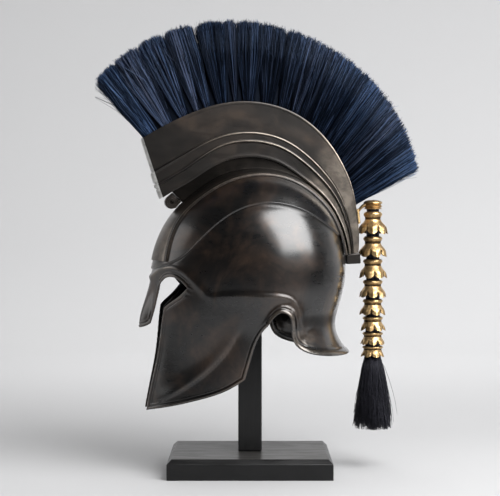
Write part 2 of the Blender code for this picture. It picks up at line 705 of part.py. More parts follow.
def core_radius(height):
    """Radius of the bound hair inside the collars."""
    share = (TAIL_CORE_TOP - height) / (TAIL_CORE_TOP - TASSEL_TOP)
    return TAIL_CORE_TOP_RADIUS + (TAIL_CORE_FOOT_RADIUS - TAIL_CORE_TOP_RADIUS) * share


def collar_spans():
    """(top, foot) heights of the collars, each shorter than the one above it."""
    mean = (COLLARS_TOP - COLLARS_FOOT) / COLLAR_COUNT
    spans = []
    top = COLLARS_TOP
    for i in range(COLLAR_COUNT):
        share = COLLAR_FIRST_SHARE + (2 - 2 * COLLAR_FIRST_SHARE) * i / (COLLAR_COUNT - 1)
        spans.append((top, top - mean * share * COLLAR_FILL))
        top -= mean * share
    return spans


def petal_ripple(angle):
    """Rises to the middle of each petal and falls to the partings between them."""
    return 0.5 * (abs(cos(PETALS * angle / 2)) * 2 - 1)


def build_collar(index, top, foot, material, collection, parent):
    """A gilt collar: a ring with a calyx of petals that opens downwards."""
    share = index / (COLLAR_COUNT - 1)
    wide = COLLAR_TOP_RADIUS + (COLLAR_FOOT_RADIUS - COLLAR_TOP_RADIUS) * share
    bore = core_radius(foot) + COLLAR_BORE_GAP
    tall = top - foot
    wall = 0.0016
    profile = (
        (bore + 0.0012, top, 0.0),
        (bore + 0.0034, top - 0.10 * tall, 0.0),
        (bore + 0.0020, top - 0.24 * tall, 0.0),
        (wide * 0.82, top - 0.52 * tall, 0.10),
        (wide, foot + 0.06 * tall, 0.22),
        (wide - wall, foot, 0.22),
        (bore + 0.4 * (wide - wall - bore), top - 0.62 * tall, 0.06),
        (bore, top - 0.42 * tall, 0.0),
        (bore, top - 0.06 * tall, 0.0),
    )
    name = f"tail_collar_{index + 1}"
    mesh = turned(name, profile, 2 * PETALS, petal_ripple)
    collar = link_mesh(name, mesh, material, collection, parent, smooth_angle=45)
    collar.location = (TAIL_X, 0.0, 0.0)
    return collar


def build_hanger(material, collection, parent):
    """The bracket on the holder's back edge, with the cup that the tail's hair is set in."""
    wall_profile = (
        (CUP_RADIUS * 0.55, CUP_TOP, 0.0),
        (CUP_RADIUS, CUP_TOP - 0.003, 0.0),
        (CUP_RADIUS, CUP_FOOT, 0.0),
        (TAIL_CORE_TOP_RADIUS + COLLAR_BORE_GAP, CUP_FOOT, 0.0),
        (TAIL_CORE_TOP_RADIUS + COLLAR_BORE_GAP, TAIL_CORE_TOP + TOUCHING_GAP, 0.0),
    )
    cup = turned_solid("tail_hanger", wall_profile, TAIL_SIDES)
    hanger = link_mesh("tail_hanger", cup, material, collection, parent, smooth_angle=40)
    hanger.location = (TAIL_X, 0.0, 0.0)

    outer_at = column_spline(CREST, "bearing", "outer")
    sections = []
    for bearing in np.linspace(*BRACKET_BEARINGS, 4):
        radius = float(outer_at(bearing)) + TOUCHING_GAP
        outside = radius + BRACKET_THICKNESS
        corners = ((radius, BRACKET_HALF_WIDTH), (outside, BRACKET_HALF_WIDTH),
                   (outside, -BRACKET_HALF_WIDTH), (radius, -BRACKET_HALF_WIDTH))
        sections.append([crest_point(bearing, reach, offset) for reach, offset in corners])
    plate = link_mesh("bracket_plate", closed_loft("bracket_plate", sections), material, collection, parent)
    arm_start = crest_point(BRACKET_BEARINGS[0] - 2.0, float(outer_at(BRACKET_BEARINGS[0] - 2.0)) + 0.0015)
    arm_end = Vector((TAIL_X - TAIL_CORE_TOP_RADIUS - 0.002, 0.0, 0.345))
    bm = bmesh.new()
    bmesh.ops.create_cube(bm, size=1.0)
    length = (arm_end - arm_start).length
    bmesh.ops.scale(bm, verts=bm.verts, vec=(length, 2 * 0.0055, 0.0052))
    arm = link_mesh("bracket_arm", mesh_from("bracket_arm", bm), material, collection, parent)
    slope = (arm_end - arm_start).normalized()
    arm.location = (arm_start + arm_end) / 2
    arm.rotation_euler = (0.0, -np.arctan2(slope.z, slope.x), 0.0)
    for name, tool in (("plate", plate), ("arm", arm)):
        tool.hide_render = True
        tool.display_type = "WIRE"
        join = hanger.modifiers.new(name, "BOOLEAN")
        join.operation = "UNION"
        join.object = tool
    return hanger


def build_core(material, collection, parent):
    """The bound hair that runs from the cup down through every collar."""
    heights = np.linspace(TAIL_CORE_TOP, TASSEL_TOP + TOUCHING_GAP, 9)
    profile = [(core_radius(height), height, 0.0) for height in heights]
    mesh = turned_solid("tail_core", profile, TAIL_SIDES)
    core = link_mesh("tail_core", mesh, material, collection, parent, smooth_angle=40)
    core.location = (TAIL_X, 0.0, 0.0)
    return core


def build_tassel(material, collection, parent):
    """The loose end of the hair, in locks joined at the neck."""
    def ripple(angle):
        return 0.5 * (abs(cos(TASSEL_LOCKS * angle / 2)) * 2 - 1)

    profile = []
    for share in np.linspace(0.0, 1.0, 7):
        radius = TASSEL_NECK_RADIUS + (TASSEL_FOOT_RADIUS - TASSEL_NECK_RADIUS) * share ** 0.85
        profile.append((radius, TASSEL_TOP + (TASSEL_FOOT + 0.004 - TASSEL_TOP) * share, 0.16 * share))
    profile.append((TASSEL_FOOT_RADIUS * 0.72, TASSEL_FOOT, 0.16))
    mesh = turned_solid("tail_tassel", profile, 2 * TASSEL_LOCKS, ripple)
    tassel = link_mesh("tail_tassel", mesh, material, collection, parent)
    tassel.location = (TAIL_X, 0.0, 0.0)
    return tassel


# ---- Stand ----

def build_base(material, collection):
    bm = bmesh.new()
    bmesh.ops.create_cube(bm, size=1.0)
    bmesh.ops.scale(bm, verts=bm.verts, vec=(BASE_LENGTH, BASE_DEPTH, BASE_HEIGHT))
    bmesh.ops.translate(bm, verts=bm.verts, vec=(0.0, 0.0, BASE_HEIGHT / 2))
    top_edges = [edge for edge in bm.edges if all(vert.co.z > BASE_HEIGHT / 2 for vert in edge.verts)]
    bmesh.ops.bevel(bm, geom=top_edges, offset=BASE_CHAMFER, segments=1, affect="EDGES")
    return link_mesh("stand_base", mesh_from("stand_base", bm), material, collection)


def build_post(material, collection):
    """The square post with the round block inside the crown, in one piece."""
    foot = BASE_HEIGHT + TOUCHING_GAP
    bm = bmesh.new()
    bmesh.ops.create_cube(bm, size=1.0)
    height = HEAD_BLOCK_FOOT + 0.010 - foot
    bmesh.ops.scale(bm, verts=bm.verts, vec=(POST_SIDE, POST_SIDE, height))
    bmesh.ops.translate(bm, verts=bm.verts, vec=(0.0, 0.0, foot + height / 2))
    upright = [edge for edge in bm.edges if abs(edge.verts[0].co.z - edge.verts[1].co.z) > height / 2]
    bmesh.ops.bevel(bm, geom=upright, offset=POST_EDGE, segments=1, affect="EDGES")
    post = link_mesh("stand_post", mesh_from("stand_post", bm), material, collection)

    crown_inside = CROWN - SHELL_WALL + CALOTTE_RISE
    top = crown_inside - 0.0016
    centre = top - HEAD_BLOCK_DOME
    profile = [(HEAD_BLOCK_RADIUS * 0.80, HEAD_BLOCK_FOOT, 0.0)]
    edge_swing = float(np.arcsin(HEAD_BLOCK_RADIUS / HEAD_BLOCK_DOME))
    for swing in np.linspace(edge_swing, 0.10, 5):
        profile.append((HEAD_BLOCK_DOME * sin(swing), centre + HEAD_BLOCK_DOME * cos(swing), 0.0))
    block_mesh = turned_solid("head_block", profile, HEAD_BLOCK_SIDES)
    block = link_mesh("head_block", block_mesh, material, collection)
    block.location = (HEAD_BLOCK_X, 0.0, 0.0)
    block.hide_render = True
    block.display_type = "WIRE"
    join = post.modifiers.new("head_block", "BOOLEAN")
    join.operation = "UNION"
    join.object = block
    return post


def main():
    clear_scene()
    collection = bpy.data.collections.new("greek_helmet")
    bpy.context.scene.collection.children.link(collection)
    bronze = new_material("dark_bronze", BRONZE, 0.36, 1.0)
    worn = new_material("worn_bronze", WORN_BRONZE, 0.40, 1.0)
    gilt = new_material("gilt_brass", GILT, 0.30, 1.0)
    navy = new_material("navy_horsehair", NAVY_HAIR, 0.55, 0.0)
    black = new_material("black_horsehair", BLACK_HAIR, 0.55, 0.0)
    paint = new_material("black_paint", BLACK_PAINT, 0.55, 0.0)

    turn = bpy.data.objects.new("helmet_turn", None)
    turn.rotation_euler = (0.0, 0.0, radians(HELMET_TURN))
    collection.objects.link(turn)

    build_base(paint, collection)
    build_post(paint, collection)
    build_shell(bronze, collection, turn)
    build_seat(bronze, collection, turn)
    build_holder(bronze, collection, turn)
    build_end_plate(worn, collection, turn)
    build_scroll(bronze, collection, turn)
    build_foot(bronze, collection, turn)
    build_plume(navy, collection, turn)
    build_backing(bronze, collection, turn)
    build_hanger(gilt, collection, turn)
    build_core(black, collection, turn)
    for index, (top, foot) in enumerate(collar_spans()):
        build_collar(index, top, foot, gilt, collection, turn)
    build_tassel(black, collection, turn)


main()
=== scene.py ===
"""Finish and fine form of a crested Greek bronze helmet on its display stand.

Metres, +Z up. The helmet is worked out facing -X and then turned about the stand's post. Angles go
round the skull from its front, 0, to its back, 180. Bearings go round the crest in the middle plane,
from the back, 0, over the top, 90, to the front, 180.
"""

from __future__ import annotations

import logging
from collections.abc import Callable, Sequence
from dataclasses import dataclass, field
from enum import Enum
from math import cos, pi, radians, sin, tau
from typing import NamedTuple

import bmesh
import bpy
import numpy as np
from bpy.types import Material, Mesh, Node, NodeSocket, Object
from mathutils import Matrix, Vector
from numpy.random import Generator
from numpy.typing import NDArray

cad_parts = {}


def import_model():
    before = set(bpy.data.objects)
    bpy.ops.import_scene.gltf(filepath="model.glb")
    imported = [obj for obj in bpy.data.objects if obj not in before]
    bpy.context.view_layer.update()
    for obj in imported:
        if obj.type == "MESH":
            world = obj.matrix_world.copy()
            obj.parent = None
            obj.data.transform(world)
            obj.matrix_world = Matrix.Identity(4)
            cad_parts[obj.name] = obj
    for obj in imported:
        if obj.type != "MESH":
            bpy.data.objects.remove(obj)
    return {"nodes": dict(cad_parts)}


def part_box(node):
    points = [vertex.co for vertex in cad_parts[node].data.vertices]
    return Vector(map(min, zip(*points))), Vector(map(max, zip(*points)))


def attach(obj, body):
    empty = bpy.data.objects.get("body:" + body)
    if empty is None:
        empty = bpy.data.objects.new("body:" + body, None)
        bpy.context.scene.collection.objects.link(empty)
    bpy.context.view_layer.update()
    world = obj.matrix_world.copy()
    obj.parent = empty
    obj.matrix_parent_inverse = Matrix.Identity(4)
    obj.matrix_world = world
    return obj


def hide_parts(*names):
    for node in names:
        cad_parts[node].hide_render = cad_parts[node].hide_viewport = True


log = logging.getLogger("greek_helmet")

Floats = NDArray[np.float64]
Pair = tuple[float, float]
Triple = tuple[float, float, float]
Colour = Triple
TURN_DEGREES = 7.0  # how far the helmet is turned on its stand
HAIR_SEED = 7


class Slot(Enum):
    """The record's material slots."""

    BRONZE = "dark_bronze"
    WORN = "worn_bronze"
    GILT = "gilt_brass"
    NAVY_HAIR = "navy_horsehair"
    BLACK_HAIR = "black_horsehair"
    PAINT = "black_paint"


class Seat(Enum):
    """Whether a piece stands with the stand or is turned with the helmet."""

    STAND = 0.0
    HELMET = TURN_DEGREES


# ---- Numbers ----


def natural_spline(places: Sequence[float], values: Sequence) -> Callable[[Floats], Floats]:
    """Fits a smooth curve through values at rising places.

    Args:
        places: Where the values are, rising.
        values: One number, or one row of numbers, for each place.

    Returns:
        A function from places to values, straight at its two ends.
    """
    places = np.asarray(places, float)
    rows = np.asarray(values, float)
    steps = np.diff(places)
    last = len(places) - 1
    system = np.eye(last + 1)
    right = np.zeros(rows.shape)
    slopes = (np.diff(rows, axis=0).T / steps).T
    for i in range(1, last):
        system[i, i - 1:i + 2] = steps[i - 1], 2 * (steps[i - 1] + steps[i]), steps[i]
        right[i] = 6 * (slopes[i] - slopes[i - 1])
    bends = np.linalg.solve(system, right)

    def curve(at: Floats) -> Floats:
        at = np.asarray(at, float)
        i = np.clip(np.searchsorted(places, at) - 1, 0, last - 1)
        shape = at.shape + (1,) * (rows.ndim - 1)
        before = (at - places[i]).reshape(shape)
        after = (places[i + 1] - at).reshape(shape)
        step = steps[i].reshape(shape)
        curved = (bends[i] * after**3 + bends[i + 1] * before**3) / (6 * step)
        start = (rows[i] / step - bends[i] * step / 6) * after
        end = (rows[i + 1] / step - bends[i + 1] * step / 6) * before
        return curved + start + end

    return curve


def ease(value: Floats | float, start: float, end: float) -> Floats:
    """Rises smoothly from 0 at start to 1 at end.

    Args:
        value: Where to look.
        start: Where the rise begins.
        end: Where it is complete; it may lie before start.

    Returns:
        The share of the rise, from 0 to 1.
    """
    share = np.clip((np.asarray(value, float) - start) / (end - start), 0.0, 1.0)
    return share * share * (3 - 2 * share)


def bead(distance: Floats, centre: float, half_width: float) -> Floats:
    """The rounded section of a raised bead.

    Args:
        distance: Distance from the line that the bead follows.
        centre: How far from that line the bead's own middle runs.
        half_width: Half the bead's width.

    Returns:
        The bead's height, 1 at its middle and 0 beside it.
    """
    return np.sqrt(np.clip(1 - ((distance - centre) / half_width) ** 2, 0.0, 1.0))


def soft_ridge(distance: Floats, centre: Floats | float, reach: Floats | float) -> Floats:
    """The soft section of a ridge or a valley: 1 at its centre, dying away to both sides."""
    return np.exp(-(((distance - centre) / reach) ** 2))


def nearest(points: Floats, line: Floats) -> tuple[Floats, NDArray[np.int64]]:
    """Finds the nearest sample of a line for every point.

    Args:
        points: Any array of 3D points.
        line: Samples of a line, one to a row.

    Returns:
        The distances, and the indices of the nearest samples.
    """
    flat = points.reshape(-1, 3)
    distance = np.empty(len(flat))
    index = np.empty(len(flat), int)
    block = 4096
    for start in range(0, len(flat), block):
        part = flat[start:start + block]
        squares = ((part[:, None, :] - line[None, :, :]) ** 2).sum(axis=2)
        index[start:start + block] = squares.argmin(axis=1)
        distance[start:start + block] = np.sqrt(squares.min(axis=1))
    return distance.reshape(points.shape[:-1]), index.reshape(points.shape[:-1])


def shares(count: int) -> Floats:
    """Evenly spaced shares from 0 to 1."""
    return np.linspace(0.0, 1.0, count)


def run_lengths(places: Floats) -> Floats:
    """The length of a line of points up to each of them."""
    return np.r_[0, np.cumsum(np.linalg.norm(np.diff(places, axis=0), axis=1))]


def ring_angles(count: int) -> Floats:
    """The angles of points spaced evenly round a ring."""
    return tau * np.arange(count) / count


def turned(radius: Floats, height: Floats, angles: Floats, x: float = 0.0) -> Floats:
    """Rings of a form turned about an upright axis.

    Args:
        radius: One radius, or one row of radii round the ring, for each ring.
        height: One height, or one row of heights, for each ring.
        angles: The angles of a ring's points.
        x: Where the axis stands on X.

    Returns:
        Rings by points of 3D points.
    """
    radius, height = (part if part.ndim == 2 else part[:, None] for part in (radius, height))
    places = np.broadcast_arrays(x + radius * np.cos(angles), radius * np.sin(angles), height)
    return np.stack(places, axis=-1)


# ---- Materials ----


class NodeSketch:
    """A material's node tree with short methods for the nodes that the finishes share."""

    def __init__(self, name: str) -> None:
        """Starts a material that holds one Principled shader.

        Args:
            name: The material's name.
        """
        self.material = bpy.data.materials.new(name)
        self.material.use_nodes = True
        self.tree = self.material.node_tree
        self.shader = self.tree.nodes["Principled BSDF"]
        self.place = self.add("ShaderNodeTexCoord").outputs["Object"]

    def add(self, kind: str, feeds: dict[str | int, object] | None = None, **settings: object) -> Node:
        """Adds a node.

        Args:
            kind: The node's type.
            feeds: What goes into its input sockets, by name or number.
            **settings: Its properties, set before the sockets.

        Returns:
            The node.
        """
        node = self.tree.nodes.new(kind)
        for name, value in settings.items():
            setattr(node, name, value)
        for name, value in (feeds or {}).items():
            self.feed(node.inputs[name], value)
        return node

    def feed(self, target: NodeSocket, value: object) -> None:
        """Links a socket, or sets a number or colour, on a target socket."""
        if isinstance(value, NodeSocket):
            self.tree.links.new(value, target)
        elif isinstance(value, tuple) and len(value) == 3 and target.type == "RGBA":
            target.default_value = (*value, 1.0)
        else:
            target.default_value = value

    def stretched(self, scale: Triple) -> NodeSocket:
        """Gives object coordinates that are scaled along each axis."""
        return self.add("ShaderNodeMapping", {"Vector": self.place, "Scale": scale}).outputs["Vector"]

    def noise(
        self,
        scale: float,
        detail: float = 4.0,
        roughness: float = 0.55,
        distortion: float = 0.0,
        place: NodeSocket | None = None,
    ) -> NodeSocket:
        """Adds cloudy noise.

        Args:
            scale: Clouds to a metre.
            detail: How many finer layers there are.
            roughness: How strong the finer layers are.
            distortion: How far the clouds are pulled about.
            place: Coordinates, or None for the object's own.

        Returns:
            The noise's socket, about 0.5 on average.
        """
        feeds = {"Vector": place or self.place, "Scale": scale, "Detail": detail, "Roughness": roughness,
                 "Distortion": distortion}
        return self.add("ShaderNodeTexNoise", feeds).outputs["Fac"]

    def remap(
        self, value: NodeSocket, low: float, high: float, to_low: float = 0.0, to_high: float = 1.0
    ) -> NodeSocket:
        """Maps a range of a value to another range, clamped and eased."""
        feeds = {"Value": value, "From Min": low, "From Max": high, "To Min": to_low, "To Max": to_high}
        return self.add("ShaderNodeMapRange", feeds, interpolation_type="SMOOTHSTEP").outputs["Result"]

    def sum(self, first: object, second: object) -> NodeSocket:
        """Adds two numbers."""
        return self.add("ShaderNodeMath", {0: first, 1: second}, operation="ADD").outputs["Value"]

    def product(self, first: object, second: object) -> NodeSocket:
        """Multiplies two numbers."""
        return self.add("ShaderNodeMath", {0: first, 1: second}, operation="MULTIPLY").outputs["Value"]

    def mix(self, share: object, first: object, second: object) -> NodeSocket:
        """Mixes two colours by a share."""
        feeds = {"Factor": share, "A": first, "B": second}
        return self.add("ShaderNodeMix", feeds, data_type="RGBA").outputs["Result"]

    def attribute(self, name: str) -> NodeSocket:
        """Reads a number that the mesh stores at its points."""
        return self.add("ShaderNodeAttribute", attribute_name=name).outputs["Fac"]

    def bump(self, height: NodeSocket, depth: float) -> None:
        """Raises the surface's shading by a height times a depth in metres, over any bump before it."""
        node = self.add("ShaderNodeBump", {"Strength": 1.0, "Distance": depth, "Height": height})
        normal = self.shader.inputs["Normal"]
        if normal.links:
            self.feed(node.inputs["Normal"], normal.links[0].from_socket)
        self.feed(normal, node.outputs["Normal"])

    def shade(self, **values: object) -> None:
        """Feeds the shader's sockets; a name's underscores stand for spaces."""
        for name, value in values.items():
            self.feed(self.shader.inputs[name.replace("_", " ")], value)


@dataclass(frozen=True)
class PatinatedBronze:
    """Bronze under a cloudy black and brown patina, waxed, lightened by wear on its ridges, with painted
    sheen and painted shade.
    """

    name: str
    black: Colour = (0.0052, 0.0049, 0.0049)
    brown: Colour = (0.054, 0.032, 0.0205)
    # The light colour of ridges lightened by wear, and of the painted sheen and highlights.
    rubbed_and_sheen: Colour = (0.30, 0.255, 0.21)
    # The near-black of grooves, and of the painted shade.
    grime_and_shade: Colour = (0.006, 0.0055, 0.005)
    roughness: float = 0.30
    rubbing: float = 0.60
    metal: float = 0.50
    wax: float = 0.80
    wax_roughness: float = 0.205

    def material(self) -> Material:
        """Builds the material; rub above 0 marks ridges lightened by wear and painted sheen, below 0 grooves
        and painted shade.
        """
        sketch = NodeSketch(self.name)
        clouds = sketch.noise(13.0, detail=6.0, roughness=0.62, distortion=0.9)
        flecks = sketch.noise(58.0, detail=5.0, roughness=0.65, distortion=0.4)
        brushed = sketch.noise(95.0, detail=3.0, roughness=0.6, place=sketch.stretched((0.35, 0.35, 1.6)))
        brown_share = sketch.product(
            sketch.remap(clouds, 0.42, 0.72), sketch.remap(flecks, 0.25, 0.75, 0.35, 1.0)
        )
        patina = sketch.mix(brown_share, self.black, self.brown)
        rub = sketch.attribute("rub")
        # Ridges lightened by wear, and the painted sheen and highlights, take the light colour.
        ridge = sketch.product(sketch.remap(rub, 0.25, 1.0), sketch.remap(flecks, 0.3, 0.7, 0.35, 1.0))
        wear_and_sheen = sketch.product(ridge, self.rubbing)
        # Grooves, and the painted shade, take the near-black colour.
        groove_and_shade = sketch.remap(rub, -0.9, -0.1, 0.75, 0.0)
        colour = sketch.mix(groove_and_shade, sketch.mix(wear_and_sheen, patina, self.rubbed_and_sheen), self.grime_and_shade)
        uneven = sketch.remap(brushed, 0.3, 0.7, -0.03, 0.04)
        cloudy = sketch.remap(clouds, 0.35, 0.7, -0.03, 0.06)
        roughness = sketch.sum(sketch.sum(uneven, cloudy), self.roughness)
        sketch.shade(
            Base_Color=colour,
            Metallic=sketch.remap(wear_and_sheen, 0.0, 0.5, self.metal, 0.95),
            Roughness=roughness,
            Specular_IOR_Level=sketch.remap(rub, -0.9, -0.1, 0.05, 0.45),
            Coat_Weight=sketch.remap(rub, -0.9, -0.1, 0.0, self.wax),
            Coat_Roughness=self.wax_roughness,
            Coat_IOR=1.55,
        )
        sketch.bump(brushed, 0.00004)
        sketch.bump(sketch.noise(21.0, detail=2.0), 0.0011)
        return sketch.material


@dataclass(frozen=True)
class RubbedMetal:
    """Bare grey metal with fine scratches."""

    name: str
    light: Colour = (0.58, 0.575, 0.56)
    dark: Colour = (0.19, 0.18, 0.17)
    grime_and_shade: Colour = (0.03, 0.028, 0.025)
    roughness: float = 0.40

    def material(self) -> Material:
        """Builds the material; it reads the mesh's rub, below 0 in grooves."""
        sketch = NodeSketch(self.name)
        stains = sketch.noise(85.0, detail=5.0, roughness=0.7)
        scratches = sketch.noise(420.0, detail=2.0, place=sketch.stretched((0.3, 1.0, 1.4)))
        metal = sketch.mix(sketch.remap(stains, 0.42, 0.72), self.light, self.dark)
        groove_and_shade = sketch.remap(sketch.attribute("rub"), -0.9, -0.1, 0.8, 0.0)
        sketch.shade(
            Base_Color=sketch.mix(groove_and_shade, metal, self.grime_and_shade),
            Metallic=0.85,
            Roughness=sketch.remap(scratches, 0.3, 0.7, self.roughness - 0.06, self.roughness + 0.10),
        )
        sketch.bump(scratches, 0.00008)
        return sketch.material


@dataclass(frozen=True)
class AgedGilding:
    """Gilt brass that is bright on its ridges and brown in its hollows."""

    name: str
    gold: Colour = (0.53, 0.365, 0.175)
    amber: Colour = (0.29, 0.18, 0.078)
    grime_and_shade: Colour = (0.030, 0.019, 0.010)
    roughness: float = 0.34

    def material(self) -> Material:
        """Builds the material; it reads the mesh's rub, below 0 in hollows."""
        sketch = NodeSketch(self.name)
        clouds = sketch.noise(120.0, detail=5.0, roughness=0.6)
        rub = sketch.attribute("rub")
        gilding = sketch.mix(sketch.remap(clouds, 0.40, 0.68), self.gold, self.amber)
        dirty = sketch.sum(rub, sketch.remap(clouds, 0.3, 0.7, 0.12, -0.30))
        sketch.shade(
            Base_Color=sketch.mix(sketch.remap(dirty, -0.55, 0.0, 0.92, 0.0), gilding, self.grime_and_shade),
            Metallic=0.95,
            Roughness=sketch.remap(dirty, -0.5, 0.5, self.roughness + 0.32, self.roughness),
        )
        sketch.bump(sketch.noise(330.0, detail=3.0), 0.00035)
        return sketch.material


@dataclass(frozen=True)
class Horsehair:
    """Stiff glossy hair, each strand of its own shade, painted darkest mid-length and lighter at root and
    tip.
    """

    name: str
    dark: Colour
    light: Colour
    faded: Colour
    glint: Colour = (1.0, 1.0, 1.0)
    roughness: float = 0.42

    def material(self) -> Material:
        """Builds the material; it reads each strand's tone and fading and how far along it a point is."""
        sketch = NodeSketch(self.name)
        tone = sketch.attribute("tone")
        along = sketch.attribute("along")
        # Painted light and shade along each strand: lifted at the root, darkest through the middle of the
        # brush, lightest at the tip.
        root, tip = sketch.remap(along, 0.0, 0.40, 1.35, 0.95), sketch.remap(along, 0.65, 1.0, 0.0, 0.60)
        share = sketch.product(tone, sketch.sum(root, tip))
        lit = sketch.mix(sketch.attribute("fading"), self.light, self.faded)
        sketch.shade(
            Base_Color=sketch.mix(share, self.dark, lit),
            Roughness=self.roughness,
            Specular_IOR_Level=0.12,
            Specular_Tint=self.glint,
        )
        return sketch.material


@dataclass(frozen=True)
class BlackPaint:
    """Matt black paint over wood, with the grain just showing, and level faces lighter: dusty, with a
    painted sheen.
    """

    name: str
    colour: Colour = (0.0022, 0.0022, 0.0024)
    dusty: Colour = (0.0055, 0.0055, 0.0058)
    dust_and_sheen: Colour = (0.042, 0.0402, 0.0385)
    roughness: float = 0.34
    grain: Triple = (0.12, 1.0, 1.0)

    def material(self) -> Material:
        """Builds the material."""
        sketch = NodeSketch(self.name)
        grain = sketch.noise(210.0, detail=4.0, roughness=0.6, place=sketch.stretched(self.grain))
        clouds = sketch.noise(26.0, detail=4.0)
        normal = sketch.add("ShaderNodeTexCoord").outputs["Normal"]
        facing = sketch.add("ShaderNodeSeparateXYZ", {"Vector": normal})
        # Level faces turn lighter, partly dusty and partly a painted sheen from the light above.
        level = sketch.remap(facing.outputs["Z"], 0.75, 1.0)
        paint = sketch.mix(sketch.remap(clouds, 0.35, 0.75), self.colour, self.dusty)
        sketch.shade(
            Base_Color=sketch.mix(level, paint, self.dust_and_sheen),
            Roughness=sketch.remap(grain, 0.3, 0.7, self.roughness - 0.05, self.roughness + 0.08),
            Specular_IOR_Level=0.38,
        )
        sketch.bump(grain, 0.00022)
        return sketch.material


@dataclass(frozen=True)
class StudioPaper:
    """Plain pale paper for the floor."""

    name: str
    colour: Colour = (0.47, 0.47, 0.475)

    def material(self) -> Material:
        """Builds the material."""
        sketch = NodeSketch(self.name)
        sketch.shade(Base_Color=self.colour, Roughness=0.65, Specular_IOR_Level=0.25)
        return sketch.material


# ---- Meshes ----


@dataclass
class MeshMaker:
    """Collects points, faces and point values, and turns them into one mesh."""

    points: list[Floats] = field(default_factory=list)
    faces: list[list[int]] = field(default_factory=list)
    values: dict[str, list[Floats]] = field(default_factory=dict)
    count: int = 0

    def grid(
        self, points: Floats, around: bool = False, down: bool = False, **values: Floats | float
    ) -> None:
        """Adds a grid of quads.

        Args:
            points: Rows by columns of 3D points.
            around: Joins the last column to the first.
            down: Joins the last row to the first.
            **values: Numbers stored at the points, by name; every patch gives the same names.
        """
        rows, columns = points.shape[:2]
        index = self.count + np.arange(rows * columns).reshape(rows, columns)
        index = np.r_[index, index[:1]] if down else index
        index = np.c_[index, index[:, :1]] if around else index
        corners = index[:-1, :-1], index[1:, :-1], index[1:, 1:], index[:-1, 1:]
        self.faces += np.stack(corners, axis=-1).reshape(-1, 4).tolist()
        self.points.append(points.reshape(-1, 3))
        for name, numbers in values.items():
            self.values.setdefault(name, []).append(np.broadcast_to(numbers, (rows, columns)).ravel())
        self.count += rows * columns

    def tube(self, rings: Floats, **values: Floats | float) -> None:
        """Adds a solid through rings of points, closed by flat ends.

        Args:
            rings: Rings by points round each of 3D points.
            **values: Numbers for the points, which fit the rings' shape.
        """
        first = self.count
        self.grid(rings, around=True, **values)
        columns = rings.shape[1]
        last = first + (rings.shape[0] - 1) * columns
        self.faces.append(list(range(first, first + columns)))
        self.faces.append(list(range(last, last + columns))[::-1])

    def mesh(self, name: str, weld: float = 0.0, smooth_angle: float = 40.0) -> Mesh:
        """Makes the mesh.

        Args:
            name: The mesh's name.
            weld: Points closer than this become one; 0 leaves them.
            smooth_angle: Sharper edges than this stay sharp, in degrees.

        Returns:
            The mesh, with its faces turned outwards.
        """
        mesh = bpy.data.meshes.new(name)
        mesh.from_pydata(np.concatenate(self.points).tolist(), [], self.faces)
        for label, parts in self.values.items():
            layer = mesh.attributes.new(label, "FLOAT", "POINT")
            layer.data.foreach_set("value", np.concatenate(parts))
        bm = bmesh.new()
        bm.from_mesh(mesh)
        if weld:
            bmesh.ops.remove_doubles(bm, verts=bm.verts, dist=weld)
        bmesh.ops.recalc_face_normals(bm, faces=bm.faces)
        bm.to_mesh(mesh)
        bm.free()
        mesh.shade_smooth()
        mesh.set_sharp_from_angle(angle=radians(smooth_angle))
        return mesh


class Bench:
    """Puts finished pieces into the frame and reports them."""

    def __init__(self) -> None:
        """Makes the collection for the pieces."""
        self.collection = bpy.data.collections.new("greek_helmet_finish")
        bpy.context.scene.collection.children.link(self.collection)

    def object(self, name: str, mesh: Mesh, seat: Seat = Seat.HELMET) -> Object:
        """Makes an object whose mesh already lies where the piece stands.

        Args:
            name: The piece's name.
            mesh: Its mesh, in the helmet's or the stand's own place.
            seat: Whether it turns with the helmet.

        Returns:
            The new object.
        """
        mesh.transform(Matrix.Rotation(radians(seat.value), 4, "Z"))
        piece = bpy.data.objects.new(name, mesh)
        self.collection.objects.link(piece)
        return piece

    def tube(
        self,
        name: str,
        rings: Floats,
        weld: float = 0.0,
        smooth_angle: float = 40.0,
        **values: Floats | float,
    ) -> Object:
        """Makes an object of the helmet from one closed tube.

        Args:
            name: The piece's name.
            rings: Rings by points round each of 3D points.
            weld: Points closer than this become one; 0 leaves them.
            smooth_angle: Sharper edges than this stay sharp, in degrees.
            **values: Numbers for the points, which fit the rings' shape.

        Returns:
            The new object.
        """
        maker = MeshMaker()
        maker.tube(rings, **values)
        return self.object(name, maker.mesh(name, weld, smooth_angle))

    def deliver(self, piece: Object, material: Material, node: str) -> None:
        """Dresses a piece, puts it on the root body and reports it.

        Args:
            piece: The piece.
            material: Its finish.
            node: The solid that it stands for, alone or with other pieces.
        """
        piece.data.materials.clear()
        piece.data.materials.append(material)
        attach(piece, "root")
        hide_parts(node)
        log.info("%s: %d faces, stands for %s", piece.name, len(piece.data.polygons), node)


def rounded(piece: Object, width: float, segments: int = 2, angle: float = 40.0) -> None:
    """Rounds a piece's sharp edges.

    Args:
        piece: The piece.
        width: Width of the rounding, in metres.
        segments: Faces across it.
        angle: Only sharper edges than this are rounded, in degrees.
    """
    bevel = piece.modifiers.new("rounded_edges", "BEVEL")
    bevel.width = width
    bevel.segments = segments
    bevel.limit_method = "ANGLE"
    bevel.angle_limit = radians(angle)
    bevel.use_clamp_overlap = True


# ---- The skull's form ----


class SkullRow(NamedTuple):
    """One level section of the skull."""

    height: float
    front: float
    back: float
    half_width: float
    taper: float
    prow: float


class Knot(NamedTuple):
    """A point of an outline on the skull."""

    angle: float
    height: float


class Flare(NamedTuple):
    """How far the edge turns outwards at an angle, and how far in from the edge this begins."""

    angle: float
    outward: float
    reach: float


def knots(*pairs: Pair) -> tuple[Knot, ...]:
    """Names the numbers of an outline's (angle, height) pairs."""
    return tuple(Knot(*pair) for pair in pairs)


